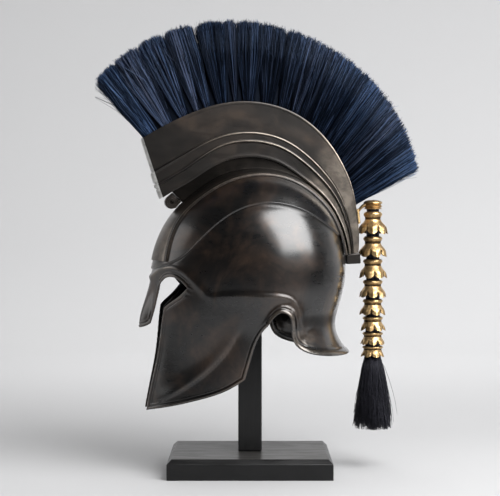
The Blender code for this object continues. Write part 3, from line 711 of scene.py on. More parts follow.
@dataclass
class SkullForm:
    """The smooth outer form that the bronze sheet is beaten to."""

    rows: tuple[SkullRow, ...] = (
        SkullRow(0.3880, 0.0080, 0.0080, 0.0000, 0.10, 0.0000),
        SkullRow(0.3800, -0.0355, 0.0510, 0.0365, 0.10, 0.0000),
        SkullRow(0.3640, -0.0625, 0.0775, 0.0610, 0.11, 0.0000),
        SkullRow(0.3350, -0.0955, 0.1045, 0.0845, 0.12, 0.0000),
        SkullRow(0.3000, -0.1165, 0.1190, 0.0985, 0.14, 0.0000),
        SkullRow(0.2680, -0.1250, 0.1240, 0.1020, 0.16, 0.0010),
        SkullRow(0.2380, -0.1265, 0.1215, 0.1015, 0.18, 0.0055),
        SkullRow(0.2120, -0.1270, 0.1145, 0.0990, 0.20, 0.0130),
        SkullRow(0.1880, -0.1265, 0.1085, 0.0950, 0.21, 0.0170),
        SkullRow(0.1550, -0.1280, 0.1060, 0.0890, 0.23, 0.0060),
        SkullRow(0.1200, -0.1335, 0.1060, 0.0825, 0.25, 0.0030),
        SkullRow(0.0750, -0.1405, 0.1080, 0.0740, 0.26, 0.0030),
    )
    prow_angle: float = 12.0
    crest_centre: Pair = (0.0, 0.263)
    least_radius: float = 0.060
    most_radius: float = 0.160

    def __post_init__(self) -> None:
        """Fits a spline to each column of the table."""
        self.crown = self.rows[0].height
        self.drop = self.crown - self.rows[-1].height
        depths = [float(self.depth(row.height)) for row in self.rows]
        self.front, self.back, self.half_width, self.taper, self.prow = (
            natural_spline(depths, [getattr(row, column) for row in self.rows])
            for column in ("front", "back", "half_width", "taper", "prow")
        )

    def depth(self, height: Floats | float) -> Floats:
        """The skull's own downward measure: 0 at the crown, 1 at the last row, round at the top."""
        return np.sqrt(np.maximum(self.crown - np.asarray(height, float), 0.0) / self.drop)

    def height(self, depth: Floats) -> Floats:
        """The height of a depth."""
        return self.crown - self.drop * np.asarray(depth) ** 2

    def point(self, angle: Floats, depth: Floats) -> Floats:
        """Points of the form on the +Y side.

        Args:
            angle: Angles round the skull.
            depth: Depths, shaped as the angles.

        Returns:
            One 3D point for each.
        """
        turn = np.radians(angle)
        front, back = self.front(depth), self.back(depth)
        nose = self.prow(depth) * soft_ridge(angle, 0.0, self.prow_angle)
        x = (front + back) / 2 - (back - front) / 2 * np.cos(turn) - nose
        y = self.half_width(depth) * np.sin(turn) * (1 - self.taper(depth) * np.cos(turn))
        return np.stack([x, y, self.height(depth) + 0 * turn], axis=-1)

    def normal(self, angle: Floats, depth: Floats) -> Floats:
        """Outward unit normals at the same places as point gives."""
        nudge_angle, nudge_depth = 0.5, 0.004  # degrees, and a share of the depth
        safe = np.maximum(depth, 2 * nudge_depth)
        across = self.point(angle + nudge_angle, safe) - self.point(angle - nudge_angle, safe)
        down = self.point(angle, safe + nudge_depth) - self.point(angle, safe - nudge_depth)
        normal = np.cross(across, down)
        normal /= np.linalg.norm(normal, axis=-1, keepdims=True)
        return np.where((np.asarray(depth) < nudge_depth)[..., None], (0.0, 0.0, 1.0), normal)

    def _half_width_at(self, x: Floats, height: Floats) -> Floats:
        """How far the form stands out sideways from a point of the middle plane; 0 outside it."""
        depth = self.depth(height)
        front, back = self.front(depth), self.back(depth)
        reach = np.maximum((back - front) / 2, 1e-6)
        cosine = np.clip(((front + back) / 2 - x) / reach, -1.0, 1.0)
        width = self.half_width(depth) * np.sqrt(1 - cosine**2) * (1 - self.taper(depth) * cosine)
        return (np.asarray(height) < self.crown) * width

    def radius(self, bearing: Floats | float, offset: Floats | float) -> Floats:
        """Distance from the crest's centre to the form.

        Args:
            bearing: Bearings in the middle plane.
            offset: Distances to the side of that plane.

        Returns:
            The radii.
        """
        centre_x, centre_z = self.crest_centre
        turn = np.radians(bearing)
        low = np.full(np.broadcast(bearing, offset).shape, self.least_radius)
        high = np.full(low.shape, self.most_radius)
        for _ in range(40):  # halves the gap each time
            middle = (low + high) / 2
            width = self._half_width_at(centre_x + middle * np.cos(turn), centre_z + middle * np.sin(turn))
            inside = width > np.maximum(np.abs(offset), 1e-5)
            low = np.where(inside, middle, low)
            high = np.where(inside, high, middle)
        return (low + high) / 2

    def crest_points(self, bearing: Floats, radius: Floats, offset: Floats) -> Floats:
        """Points given by bearing and radius about the crest's centre, offset to the side."""
        turn = np.radians(bearing)
        return self.crest_place(radius * np.cos(turn), radius * np.sin(turn), offset)

    def crest_place(self, ahead: Floats | float, up: Floats | float, offset: Floats | float) -> Floats:
        """Points given by how far they are along +X, up and to the side from the crest's centre."""
        centre_x, centre_z = self.crest_centre
        return np.stack(np.broadcast_arrays(centre_x + ahead, offset, centre_z + up), axis=-1)

    def crest_rings(self, bearings: Floats, section: Sequence[tuple[Floats | float, float]]) -> Floats:
        """Rings across the crest, one at each bearing, through a section's (radius, offset) corners."""
        return np.stack([self.crest_points(bearings, *corner) for corner in section], axis=1)

    def outline(self, line: Sequence[Knot]) -> Callable[[Floats], Floats]:
        """Fits a smooth curve on the form.

        Args:
            line: The outline's knots.

        Returns:
            A function from a share of the length to rows of (angle, depth).
        """
        plain = np.array([(knot.angle, float(self.depth(knot.height))) for knot in line])
        lengths = run_lengths(self.point(plain[:, 0], plain[:, 1]))
        return natural_spline(lengths / lengths[-1], plain)

    def samples(self, line: Sequence[Knot], count: int = 260) -> Floats:
        """Points close together along an outline."""
        found = self.outline(line)(shares(count))
        return self.point(found[:, 0], found[:, 1])


# ---- Helmet shell ----


@dataclass
class Fold:
    """A raised line on the sheet that swells from nothing and dies away, with painted shade below it."""

    line: tuple[Knot, ...]
    height: float
    above: float
    below: float
    fade_in: float
    fade_out: float
    # How dark the painted shade below the fold is, and how far down it reaches.
    grime_and_shade: float = 0.0
    shade_reach: float = 0.045


@dataclass
class HelmetShell:
    """Cap, brow, nasal, cheek pieces and neck guard, beaten from one sheet."""

    form: SkullForm
    wall: float = 0.0020
    cap_rise: float = 0.0016
    brow_height: float = 0.2415
    rim_half_width: float = 0.0019
    rim_rise: float = 0.0012
    nape_rim_half_width: float = 0.0030
    nape_rim_rise: float = 0.0019
    rim_rounding: float = 0.00045
    line_zone: float = 0.0045
    rim_zone: float = 0.0085
    edge_zone: float = 0.052
    # Painted shade in a band above the neck guard's flare, a painted highlight on the flare and a painted
    # sheen on the front of the brow.
    waist_height: float = 0.1990
    waist_half_height: float = 0.0095
    waist_painted_shade: float = 0.62
    flare_height: float = 0.1806
    flare_half_height: float = 0.0115
    flare_painted_highlight: float = 0.50
    face_painted_sheen: float = 0.46
    face_foot: float = 0.234
    face_full: float = 0.254
    nasal_side: tuple[Knot, ...] = knots((20.0, 0.2415), (17.3, 0.225), (15.0, 0.208), (12.5, 0.1935))
    nasal_tip: tuple[Knot, ...] = knots((0.0, 0.1870), (6.5, 0.1885), (12.5, 0.1935))
    eye_upper: tuple[Knot, ...] = knots(
        (20.0, 0.2415), (26.0, 0.2505), (33.0, 0.2535), (40.0, 0.2505), (47.0, 0.2400)
    )
    eye_lower: tuple[Knot, ...] = knots(
        (27.0, 0.2150), (31.0, 0.2190), (36.0, 0.2240), (41.5, 0.2305), (47.0, 0.2400)
    )
    cheek_front: tuple[Knot, ...] = knots(
        (27.0, 0.2150), (23.5, 0.190), (20.7, 0.160), (18.0, 0.120), (15.5, 0.0820)
    )
    cheek_lower: tuple[Knot, ...] = knots(
        (15.5, 0.0820), (38.0, 0.0880), (62.0, 0.0995), (79.0, 0.1130), (88.5, 0.1265)
    )
    cheek_rear: tuple[Knot, ...] = knots((99.0, 0.1950), (94.5, 0.1800), (91.3, 0.1580), (88.5, 0.1265))
    temple: tuple[Knot, ...] = knots((47.0, 0.2400), (62.0, 0.2330), (82.0, 0.2170), (99.0, 0.1950))
    ear_and_nape: tuple[Knot, ...] = knots(
        (99.0, 0.1950), (101.5, 0.2045), (106.0, 0.2115), (110.0, 0.2080), (112.5, 0.1960), (114.0, 0.1820),
        (117.0, 0.1710), (124.0, 0.1625), (137.0, 0.1575), (157.0, 0.1550), (180.0, 0.1545),
    )
    brow_line: tuple[Knot, ...] = knots(
        (0.0, 0.2625), (14.0, 0.2655), (28.0, 0.2700), (40.0, 0.2780), (50.0, 0.2960), (60.0, 0.3185),
        (72.0, 0.3365), (85.0, 0.3445), (100.0, 0.3455), (120.0, 0.3385), (141.0, 0.3205), (160.0, 0.3050),
        (180.0, 0.2980),
    )
    flare: tuple[Flare, ...] = (
        Flare(98.0, 0.0030, 0.012),
        Flare(106.0, 0.0050, 0.014),
        Flare(114.0, 0.0080, 0.022),
        Flare(124.0, 0.0150, 0.036),
        Flare(140.0, 0.0200, 0.046),
        Flare(180.0, 0.0230, 0.050),
    )
    folds: tuple[Fold, ...] = (
        Fold(  # eyebrow
            knots((0.5, 0.2500), (10.0, 0.2555), (22.0, 0.2625), (34.0, 0.2650), (45.0, 0.2590),
                  (53.0, 0.2460), (60.0, 0.2330), (68.0, 0.2230)),
            height=0.0024, above=0.0040, below=0.0048, fade_in=0.04, fade_out=0.40,
        ),
        Fold(  # from the temple over the ear to the nape
            knots((54.0, 0.2300), (66.0, 0.2310), (79.0, 0.2330), (91.0, 0.2320), (102.0, 0.2310),
                  (111.0, 0.2260), (117.5, 0.2120), (120.5, 0.1950), (124.0, 0.1840), (132.0, 0.1780),
                  (150.0, 0.1750)),
            height=0.0014, above=0.0026, below=0.0110, fade_in=0.25, fade_out=0.35,
        ),
        Fold(  # crescent along the cheek piece's lower edge
            knots((22.0, 0.0880), (36.0, 0.0975), (52.0, 0.1140), (66.0, 0.1370), (76.0, 0.1630),
                  (82.0, 0.1890), (85.0, 0.2120)),
            # Painted shade below the crescent.
            height=0.0030, above=0.0125, below=0.0038, fade_in=0.26, fade_out=0.35, grime_and_shade=0.62,
        ),
    )

    def _column(self, angle: float, depth: float, line: float) -> Floats:
        """Depths of the cap's rows in one column, from the crown over the brow line to the edge."""
        above = np.linspace(0.0, line - self.line_zone, 20)
        across = np.linspace(line - self.line_zone, line + self.line_zone, 8)[1:-1]
        start = line + self.line_zone
        length = run_lengths(self.form.point(np.full(60, angle), np.linspace(start, depth, 60)))[-1]
        rim = min(self.rim_zone, 0.4 * length)
        zone = min(self.edge_zone, 0.85 * length)
        distances = np.r_[
            np.linspace(length, zone, 18), np.linspace(zone, rim, 28)[1:], np.linspace(rim, 0.0, 12)[1:]
        ]
        depths = np.linspace(start, depth, 80)
        lengths = run_lengths(self.form.point(np.full(80, angle), depths))
        return np.r_[above, across, np.interp(lengths[-1] - distances, lengths, depths)]

    def _grids(self) -> list[Floats]:
        """The half shell's grids of (angle, depth): cap and neck guard, nasal, cheek piece."""
        form = self.form
        root_depth = float(form.depth(self.brow_height))
        root_angles = np.linspace(0.0, self.nasal_side[0].angle, 15)
        root = np.stack([root_angles, np.full(15, root_depth)], axis=-1)
        eye = form.outline(self.eye_upper)(shares(34))
        temple = form.outline(self.temple)(np.r_[np.linspace(0.0, 0.9, 30), np.linspace(0.9, 1.0, 10)[1:]])
        rear = form.outline(self.ear_and_nape)(shares(104))
        lower_edge = np.concatenate([root, eye[1:], temple[1:], rear[1:]])
        line = self._line_depth(lower_edge[:, 0])
        depths = np.stack([self._column(*spot, over) for spot, over in zip(lower_edge, line)], axis=1)
        cap = np.stack(np.broadcast_arrays(lower_edge[None, :, 0], depths), axis=-1)

        down = np.r_[np.linspace(0.0, 0.82, 18), np.linspace(0.82, 1.0, 9)[1:]]
        middle_depth = np.interp(down, (0, 1), (root_depth, float(form.depth(self.nasal_tip[0].height))))
        nasal_middle = np.stack([np.zeros(len(down)), middle_depth], axis=-1)
        across = shares(15)
        nasal = self._coons(root, form.outline(self.nasal_tip)(across), nasal_middle,
                            form.outline(self.nasal_side)(down), across, down)

        share = np.r_[np.linspace(0.0, 0.25, 9), np.linspace(0.25, 1.0, 24)[1:]]
        eyelid = form.outline(self.eye_lower)(share)
        top = np.concatenate([eyelid, temple[1:]])
        lengths = run_lengths(form.point(top[:, 0], top[:, 1]))
        across = lengths / lengths[-1]
        edge = 0.075
        down = np.r_[
            np.linspace(0.0, edge, 9), np.linspace(edge, 1 - edge, 60)[1:-1], np.linspace(1 - edge, 1.0, 11)
        ]
        front, rear = form.outline(self.cheek_front)(down), form.outline(self.cheek_rear)(down)
        cheek = self._coons(top, form.outline(self.cheek_lower)(across), front, rear, across, down)
        return [cap, nasal, cheek]

    def _line_depth(self, angle: Floats) -> Floats:
        """Depth of the brow line at angles."""
        line = self.form.outline(self.brow_line)(shares(300))
        return np.interp(angle, line[:, 0], line[:, 1])

    @staticmethod
    def _coons(
        top: Floats, bottom: Floats, left: Floats, right: Floats, across: Floats, down: Floats
    ) -> Floats:
        """Fills a grid between four curves; left and right run from top to bottom."""
        u = across[None, :, None]
        v = down[:, None, None]
        between = (1 - v) * top[None] + v * bottom[None] + (1 - u) * left[:, None] + u * right[:, None]
        twice = ((1 - u) * (1 - v) * top[0] + u * (1 - v) * top[-1]
                 + (1 - u) * v * bottom[0] + u * v * bottom[-1])
        return between - twice

    def _fold(self, plain: Floats, normal: Floats, fold: Fold) -> tuple[Floats, Floats]:
        """A fold's share of its height and its painted shade, at points with the given outward normals."""
        line = self.form.samples(fold.line, 400)
        distance, index = nearest(plain, line)
        tangent = np.gradient(line, axis=0)[index]
        below = (np.cross(normal, tangent) * (plain - line[index])).sum(axis=-1) > 0
        share = index / (len(line) - 1)
        swell = ease(share, 0.0, fold.fade_in) * (1 - ease(share, 1 - fold.fade_out, 1.0))
        rise = soft_ridge(distance, 0.0, np.where(below, fold.below, fold.above)) * swell
        # Painted shade below the fold: it starts at the fold's foot and dies away further down.
        behind = below * ease(distance, 0.0, fold.below) * soft_ridge(distance, 0.0, fold.shade_reach)
        return rise, fold.grime_and_shade * behind * ease(swell, 0.0, 0.6)

    def _rims(self) -> tuple[Floats, Floats, Floats]:
        """Samples of every free edge, with half the width of the rim there and its rise."""
        edges = [self.form.samples(line) for line in (
            self.nasal_tip, self.nasal_side, self.eye_upper, self.eye_lower, self.cheek_front,
            self.cheek_lower, self.cheek_rear,
        )]
        ear = self.form.outline(self.ear_and_nape)(shares(500))
        wide = np.r_[np.zeros(sum(map(len, edges))), ease(ear[:, 0], 99.0, 116.0)]
        points = np.concatenate([*edges, self.form.point(ear[:, 0], ear[:, 1])])
        half_width = self.rim_half_width + (self.nape_rim_half_width - self.rim_half_width) * wide
        return points, half_width, self.rim_rise + (self.nape_rim_rise - self.rim_rise) * wide

    def _relief(self, grid: Floats, plain: Floats, normal: Floats) -> tuple[Floats, Floats]:
        """Height of the relief along the normal, and its rub with the painted light, for a grid.

        Args:
            grid: Angles and depths.
            plain: The same places on the plain form.
            normal: The plain form's outward normals there.

        Returns:
            The rise in metres, and the rub from -1 in grooves and painted shade to 1 on ridges and painted
            highlights.
        """
        angle, depth = grid[..., 0], grid[..., 1]
        points, half_widths, rises = self._rims()
        edge, index = nearest(plain, points)
        half = half_widths[index]
        rim = bead(edge, half, half)
        second = bead(edge, 3.1 * half, 0.5 * half)
        valley = soft_ridge(edge, 2.35 * half, 0.0009)
        line = self._line_depth(angle)
        cap = 1 - ease(depth, line - 0.0026, line + 0.0034)
        crease = soft_ridge(depth, line - 0.0034, 0.0026)
        groove_and_shade = soft_ridge(depth, line + 0.0046, 0.0026)
        rise = self.cap_rise * cap + 0.0002 * crease - 0.0004 * groove_and_shade + rises[index] * (rim + 0.32 * second)
        rub = 0.14 * crease - 0.7 * groove_and_shade + 0.62 * rim + 0.35 * second - 0.6 * valley
        for fold in self.folds:
            share, grime_and_shade = self._fold(plain, normal, fold)
            rise = rise + fold.height * share
            # Each fold's painted shade darkens the sheet below it, except on the rims.
            rub = rub + 0.5 * share**6 - grime_and_shade * (1 - rim)
        # The painted light on the broad faces is added here, away from the rims.
        return rise, rub + self._painted_light(angle, plain[..., 2]) * (1 - rim)

    def _painted_light(self, angle: Floats, height: Floats) -> Floats:
        """Painted light: a sheen on the brow's front, a highlight on the neck guard's flare, shade at its
        waist.
        """
        waist = bead(height, self.waist_height, self.waist_half_height) * ease(angle, 104.0, 116.0)
        flare = bead(height, self.flare_height, self.flare_half_height)
        flare = flare * ease(angle, 106.0, 116.0) * (1 - ease(angle, 128.0, 142.0))
        face = (1 - ease(angle, 20.0, 46.0)) * ease(height, self.face_foot, self.face_full)
        return self.flare_painted_highlight * flare + self.face_painted_sheen * face - self.waist_painted_shade * waist

    def _outer(self, grid: Floats) -> tuple[Floats, Floats]:
        """Outer points of the sheet for a grid of (angle, depth), and their rub."""
        angle, depth = grid[..., 0], grid[..., 1]
        plain, normal = self.form.point(angle, depth), self.form.normal(angle, depth)
        rise, rub = self._relief(grid, plain, normal)
        angles = [row.angle for row in self.flare]
        outward = np.interp(angle, angles, [row.outward for row in self.flare])
        reach = np.interp(angle, angles, [row.reach for row in self.flare])
        distance, _ = nearest(plain, self.form.samples(self.ear_and_nape, 500))
        nearness = np.clip(1 - distance / reach, 0.0, 1.0)
        rise = rise + outward * ease(angle, 88.0, 100.0) * nearness**2
        points = plain + normal * rise[..., None]
        points[..., 1] = np.where(points[..., 1] < 1e-4, 0.0, points[..., 1])
        return points, rub

    def build(self, bench: Bench, finish: Material) -> None:
        """Makes the sheet.

        Args:
            bench: Takes the finished piece.
            finish: The sheet's material.
        """
        maker = MeshMaker()
        for grid in self._grids():
            points, rub = self._outer(grid)
            maker.grid(points, rub=rub)
            maker.grid(points * (1.0, -1.0, 1.0), rub=rub)
        piece = bench.object("bronze_helmet", maker.mesh("bronze_helmet", weld=1e-5))
        wall = piece.modifiers.new("wall", "SOLIDIFY")
        wall.thickness = self.wall
        wall.offset = -1.0
        wall.use_even_offset = True
        rounded(piece, self.rim_rounding, angle=60.0)
        bench.deliver(piece, finish, "helmet_shell")


# ---- Crest ----


class CrestRow(NamedTuple):
    """Radii of the holder's two edges and of the hair's tips; its inner edge has bearings of its own."""

    bearing: float
    outer: float
    inner_bearing: float
    inner: float
    hair: float


@dataclass
class CrestCurve:
    """The side view of the crest holder and its hair."""

    form: SkullForm
    rows: tuple[CrestRow, ...] = (
        CrestRow(129.7, 0.2175, 141.3, 0.1455, 0.316),
        CrestRow(118.5, 0.2140, 124.5, 0.1365, 0.324),
        CrestRow(104.5, 0.2148, 106.5, 0.1410, 0.3265),
        CrestRow(92.0, 0.2155, 92.0, 0.1435, 0.324),
        CrestRow(77.0, 0.2105, 77.0, 0.1415, 0.314),
        CrestRow(63.0, 0.1985, 63.0, 0.1352, 0.301),
        CrestRow(50.0, 0.1830, 50.0, 0.1334, 0.285),
        CrestRow(37.0, 0.1678, 37.0, 0.1331, 0.266),
        CrestRow(25.0, 0.1545, 25.0, 0.1318, 0.250),
        CrestRow(8.0, 0.1425, 8.0, 0.1302, 0.235),
    )

    def __post_init__(self) -> None:
        """Fits splines along the crest and against the bearing."""
        self.along = natural_spline(shares(len(self.rows)), [list(row) for row in self.rows])
        self.outer = self._against("bearing", "outer")
        self.hair = self._against("bearing", "hair")
        self.inner = self._against("inner_bearing", "inner")

    def _against(self, key: str, column: str) -> Callable[[Floats], Floats]:
        """Splines one column of the table against another."""
        pairs = sorted((getattr(row, key), getattr(row, column)) for row in self.rows)
        return natural_spline([pair[0] for pair in pairs], [pair[1] for pair in pairs])

    def edges(self, count: int) -> tuple[Floats, Floats]:
        """Points along the holder's inner and outer edges, from its front end to its back."""
        bearing, outer, inner_bearing, inner, _ = self.along(shares(count)).T
        return self.form.crest_points(inner_bearing, inner, 0.0), self.form.crest_points(bearing, outer, 0.0)


class PlateStep(NamedTuple):
    """The end plate's thickness at a share of the way up it."""

    share: float
    thickness: float


@dataclass
class CrestHolder:
    """The channel that grips the hair, with its end plate and foot."""

    curve: CrestCurve
    stations: int = 150
    web_half_width: float = 0.0108
    band_half_width: float = 0.0126
    rib_half_width: float = 0.0138
    upper_half_width: float = 0.0112
    rim_half_width: float = 0.0118
    channel_half_gap: float = 0.0088
    ribs: Pair = (0.285, 0.435)
    rib_share: float = 0.022
    front_ribs: Pair = (0.215, 0.428)
    channel_floor: float = 0.06
    plate_margin: float = 0.0018
    plate_gap: float = 0.0004
    plate_profile: tuple[PlateStep, ...] = (
        PlateStep(0.000, 0.0040),
        PlateStep(0.150, 0.0044),
        PlateStep(0.165, 0.0016),
        PlateStep(0.180, 0.0050),
        PlateStep(0.225, 0.0054),
        PlateStep(0.245, 0.0018),
        PlateStep(0.262, 0.0046),
        PlateStep(0.420, 0.0042),
        PlateStep(0.440, 0.0026),
        PlateStep(0.960, 0.0022),
        PlateStep(1.000, 0.0016),
    )
    lid_thickness: float = 0.006
    foot_bearings: Pair = (7.8, 2.2)
    foot_radii: Pair = (0.1250, 0.1440)
    foot_half_width: float = 0.0145
    # A painted sheen over the back part of the holder.
    rear_painted_sheen: float = 0.72

    def _side(self) -> tuple[Floats, Floats, Floats]:
        """The holder's side from its inner edge to its rim: shares, half widths and rub."""
        low, high = self.ribs
        share = np.unique(np.round(np.r_[
            np.linspace(0.0, 0.05, 6), np.linspace(0.05, 0.24, 6), np.linspace(0.24, 0.50, 40),
            np.linspace(0.50, 0.93, 8), np.linspace(0.93, 1.0, 12),
        ], 5))
        lip = bead(share, 0.022, 0.022)
        ribs = np.maximum(bead(share, low, self.rib_share), bead(share, high, self.rib_share))
        band = ease(share, low - 0.006, low + 0.006) * (1 - ease(share, high - 0.006, high + 0.006))
        plain = np.where(share < 0.36, self.web_half_width, self.upper_half_width)
        plain = plain + (self.band_half_width - plain) * band
        half = plain + (self.rib_half_width - plain) * ribs * 0.95 + 0.0002 * lip
        # Painted shadow lines just below the lower rib and just above the upper one, with no cut in the mesh
        # under them.
        groove_and_shade = np.maximum(bead(share, low - 1.8 * self.rib_share, 0.014),
                            bead(share, high + 1.8 * self.rib_share, 0.014))
        rub = ribs * 0.75 + lip * 0.15 - groove_and_shade * 0.6 - 0.35 * band * (1 - ribs)
        return share, half, rub

    def build(self, bench: Bench, bronze: Material, bright: Material) -> None:
        """Makes the holder, its bright end plate and its foot.

        Args:
            bench: Takes the finished pieces.
            bronze: The holder's material.
            bright: The end plate's material.
        """
        share, half, rub = self._side()
        inner, outer = self.curve.edges(self.stations)
        section_share = np.r_[share, 1.0, self.channel_floor]
        section_half = np.r_[half, self.channel_half_gap, self.channel_half_gap]
        section_rub = np.r_[rub, -0.5, -0.5]
        along = shares(self.stations)[:, None]
        wear_and_sheen = ease(along, 0.02, 0.34)
        low, high = self.ribs
        front_share = np.interp(section_share, (0.0, low, high, 1.0), (0.0, *self.front_ribs, 1.0))
        placed = front_share + (section_share - front_share) * ease(wear_and_sheen, 0.0, 0.9)
        line = inner[:, None, :] + (outer - inner)[:, None, :] * placed[..., None]
        rim = np.r_[bead(share, 0.972, 0.026), 0.0, 0.0] * wear_and_sheen
        halves = section_half + (self.rim_half_width - self.upper_half_width) * rim
        near, far = line.copy(), line[:, ::-1].copy()
        near[..., 1] = halves
        far[..., 1] = -halves[:, ::-1]
        rings = np.concatenate([near, far], axis=1)
        # A painted sheen lies over the back part; towards the front end the ribs' wear and the painted
        # shadow lines weaken, leaving the ribs dim as painted shade.
        rear_sheen = self.rear_painted_sheen * ease(along, 0.42, 0.75) * (section_rub > -0.3)
        rub_near = np.maximum(section_rub * (0.30 + 0.70 * wear_and_sheen), rear_sheen) + 0.35 * rim
        rubs = np.concatenate([rub_near, rub_near[:, ::-1]], axis=1)
        piece = bench.tube("crest_channel", rings, smooth_angle=50.0, rub=rubs)
        bench.deliver(piece, bronze, "crest_holder")
        self._end_plate(bench, bright, inner[0], outer[0])
        self._foot(bench, bronze)

    def _end_plate(self, bench: Bench, finish: Material, inner: Floats, outer: Floats) -> None:
        """Makes the bright plate on the front end, with the mouldings carried across it."""
        along = (outer - inner) / np.linalg.norm(outer - inner)
        forwards = np.array([-along[2], 0.0, along[0]])
        share = shares(160)
        sides, half, _ = self._side()
        half = np.interp(share, sides, half) + self.plate_margin
        steps = self.plate_profile
        thickness = np.interp(share, [step.share for step in steps], [step.thickness for step in steps])
        half_across = np.array([0.5, 0.76, 0.80, 0.84, 0.90, 0.95, 0.985, 1.0])
        across = np.r_[-half_across[::-1], 0.0, half_across]
        line = bead(np.abs(across), 0.82, 0.05)
        crown = np.sqrt(np.clip(1 - np.abs(across) ** 30, 0.0, 1.0)) * (1 - 0.22 * line)
        rub = -0.8 * bead(np.abs(across), 0.82, 0.06)
        rows = []
        for place, width, thick in zip(share, half, thickness):
            centre = inner + (outer - inner) * place + self.plate_gap * forwards
            side = np.outer(across * width, (0, 1, 0))
            front = centre + side + np.outer(thick * crown, forwards)
            back = centre + side[::-1]
            rows.append(np.concatenate([front, back[1:-1]]))
        rubs = np.r_[rub, np.zeros(len(across) - 2)]
        piece = bench.tube("crest_front_plate", np.array(rows), weld=1e-6, rub=rubs)
        bench.deliver(piece, finish, "crest_end_plate")

    def _foot(self, bench: Bench, finish: Material) -> None:
        """Makes the block that closes the back end."""
        low, high = self.foot_radii
        half = self.foot_half_width
        section = ((low, half), (high, half), (high, -half), (low, -half))
        rings = self.curve.form.crest_rings(np.linspace(*self.foot_bearings, 9), section)
        piece = bench.tube("crest_back_foot", rings, rub=0.0)
        rounded(piece, 0.0016, segments=3)
        bench.deliver(piece, finish, "crest_foot")

    def build_lid(self, bench: Bench, finish: Material, first: float, last: float) -> None:
        """Makes the lid of the channel between two bearings, behind the hair."""
        bearings = np.linspace(first, last, 24)
        top = self.curve.outer(bearings) - 0.0006
        foot = top - self.lid_thickness
        half = self.channel_half_gap - 0.0004
        section = ((foot, half), (top, half), (top, -half), (foot, -half))
        rings = self.curve.form.crest_rings(bearings, section)
        piece = bench.tube("crest_channel_lid", rings, rub=0.0)
        rounded(piece, 0.0005)
        bench.deliver(piece, finish, "crest_backing")


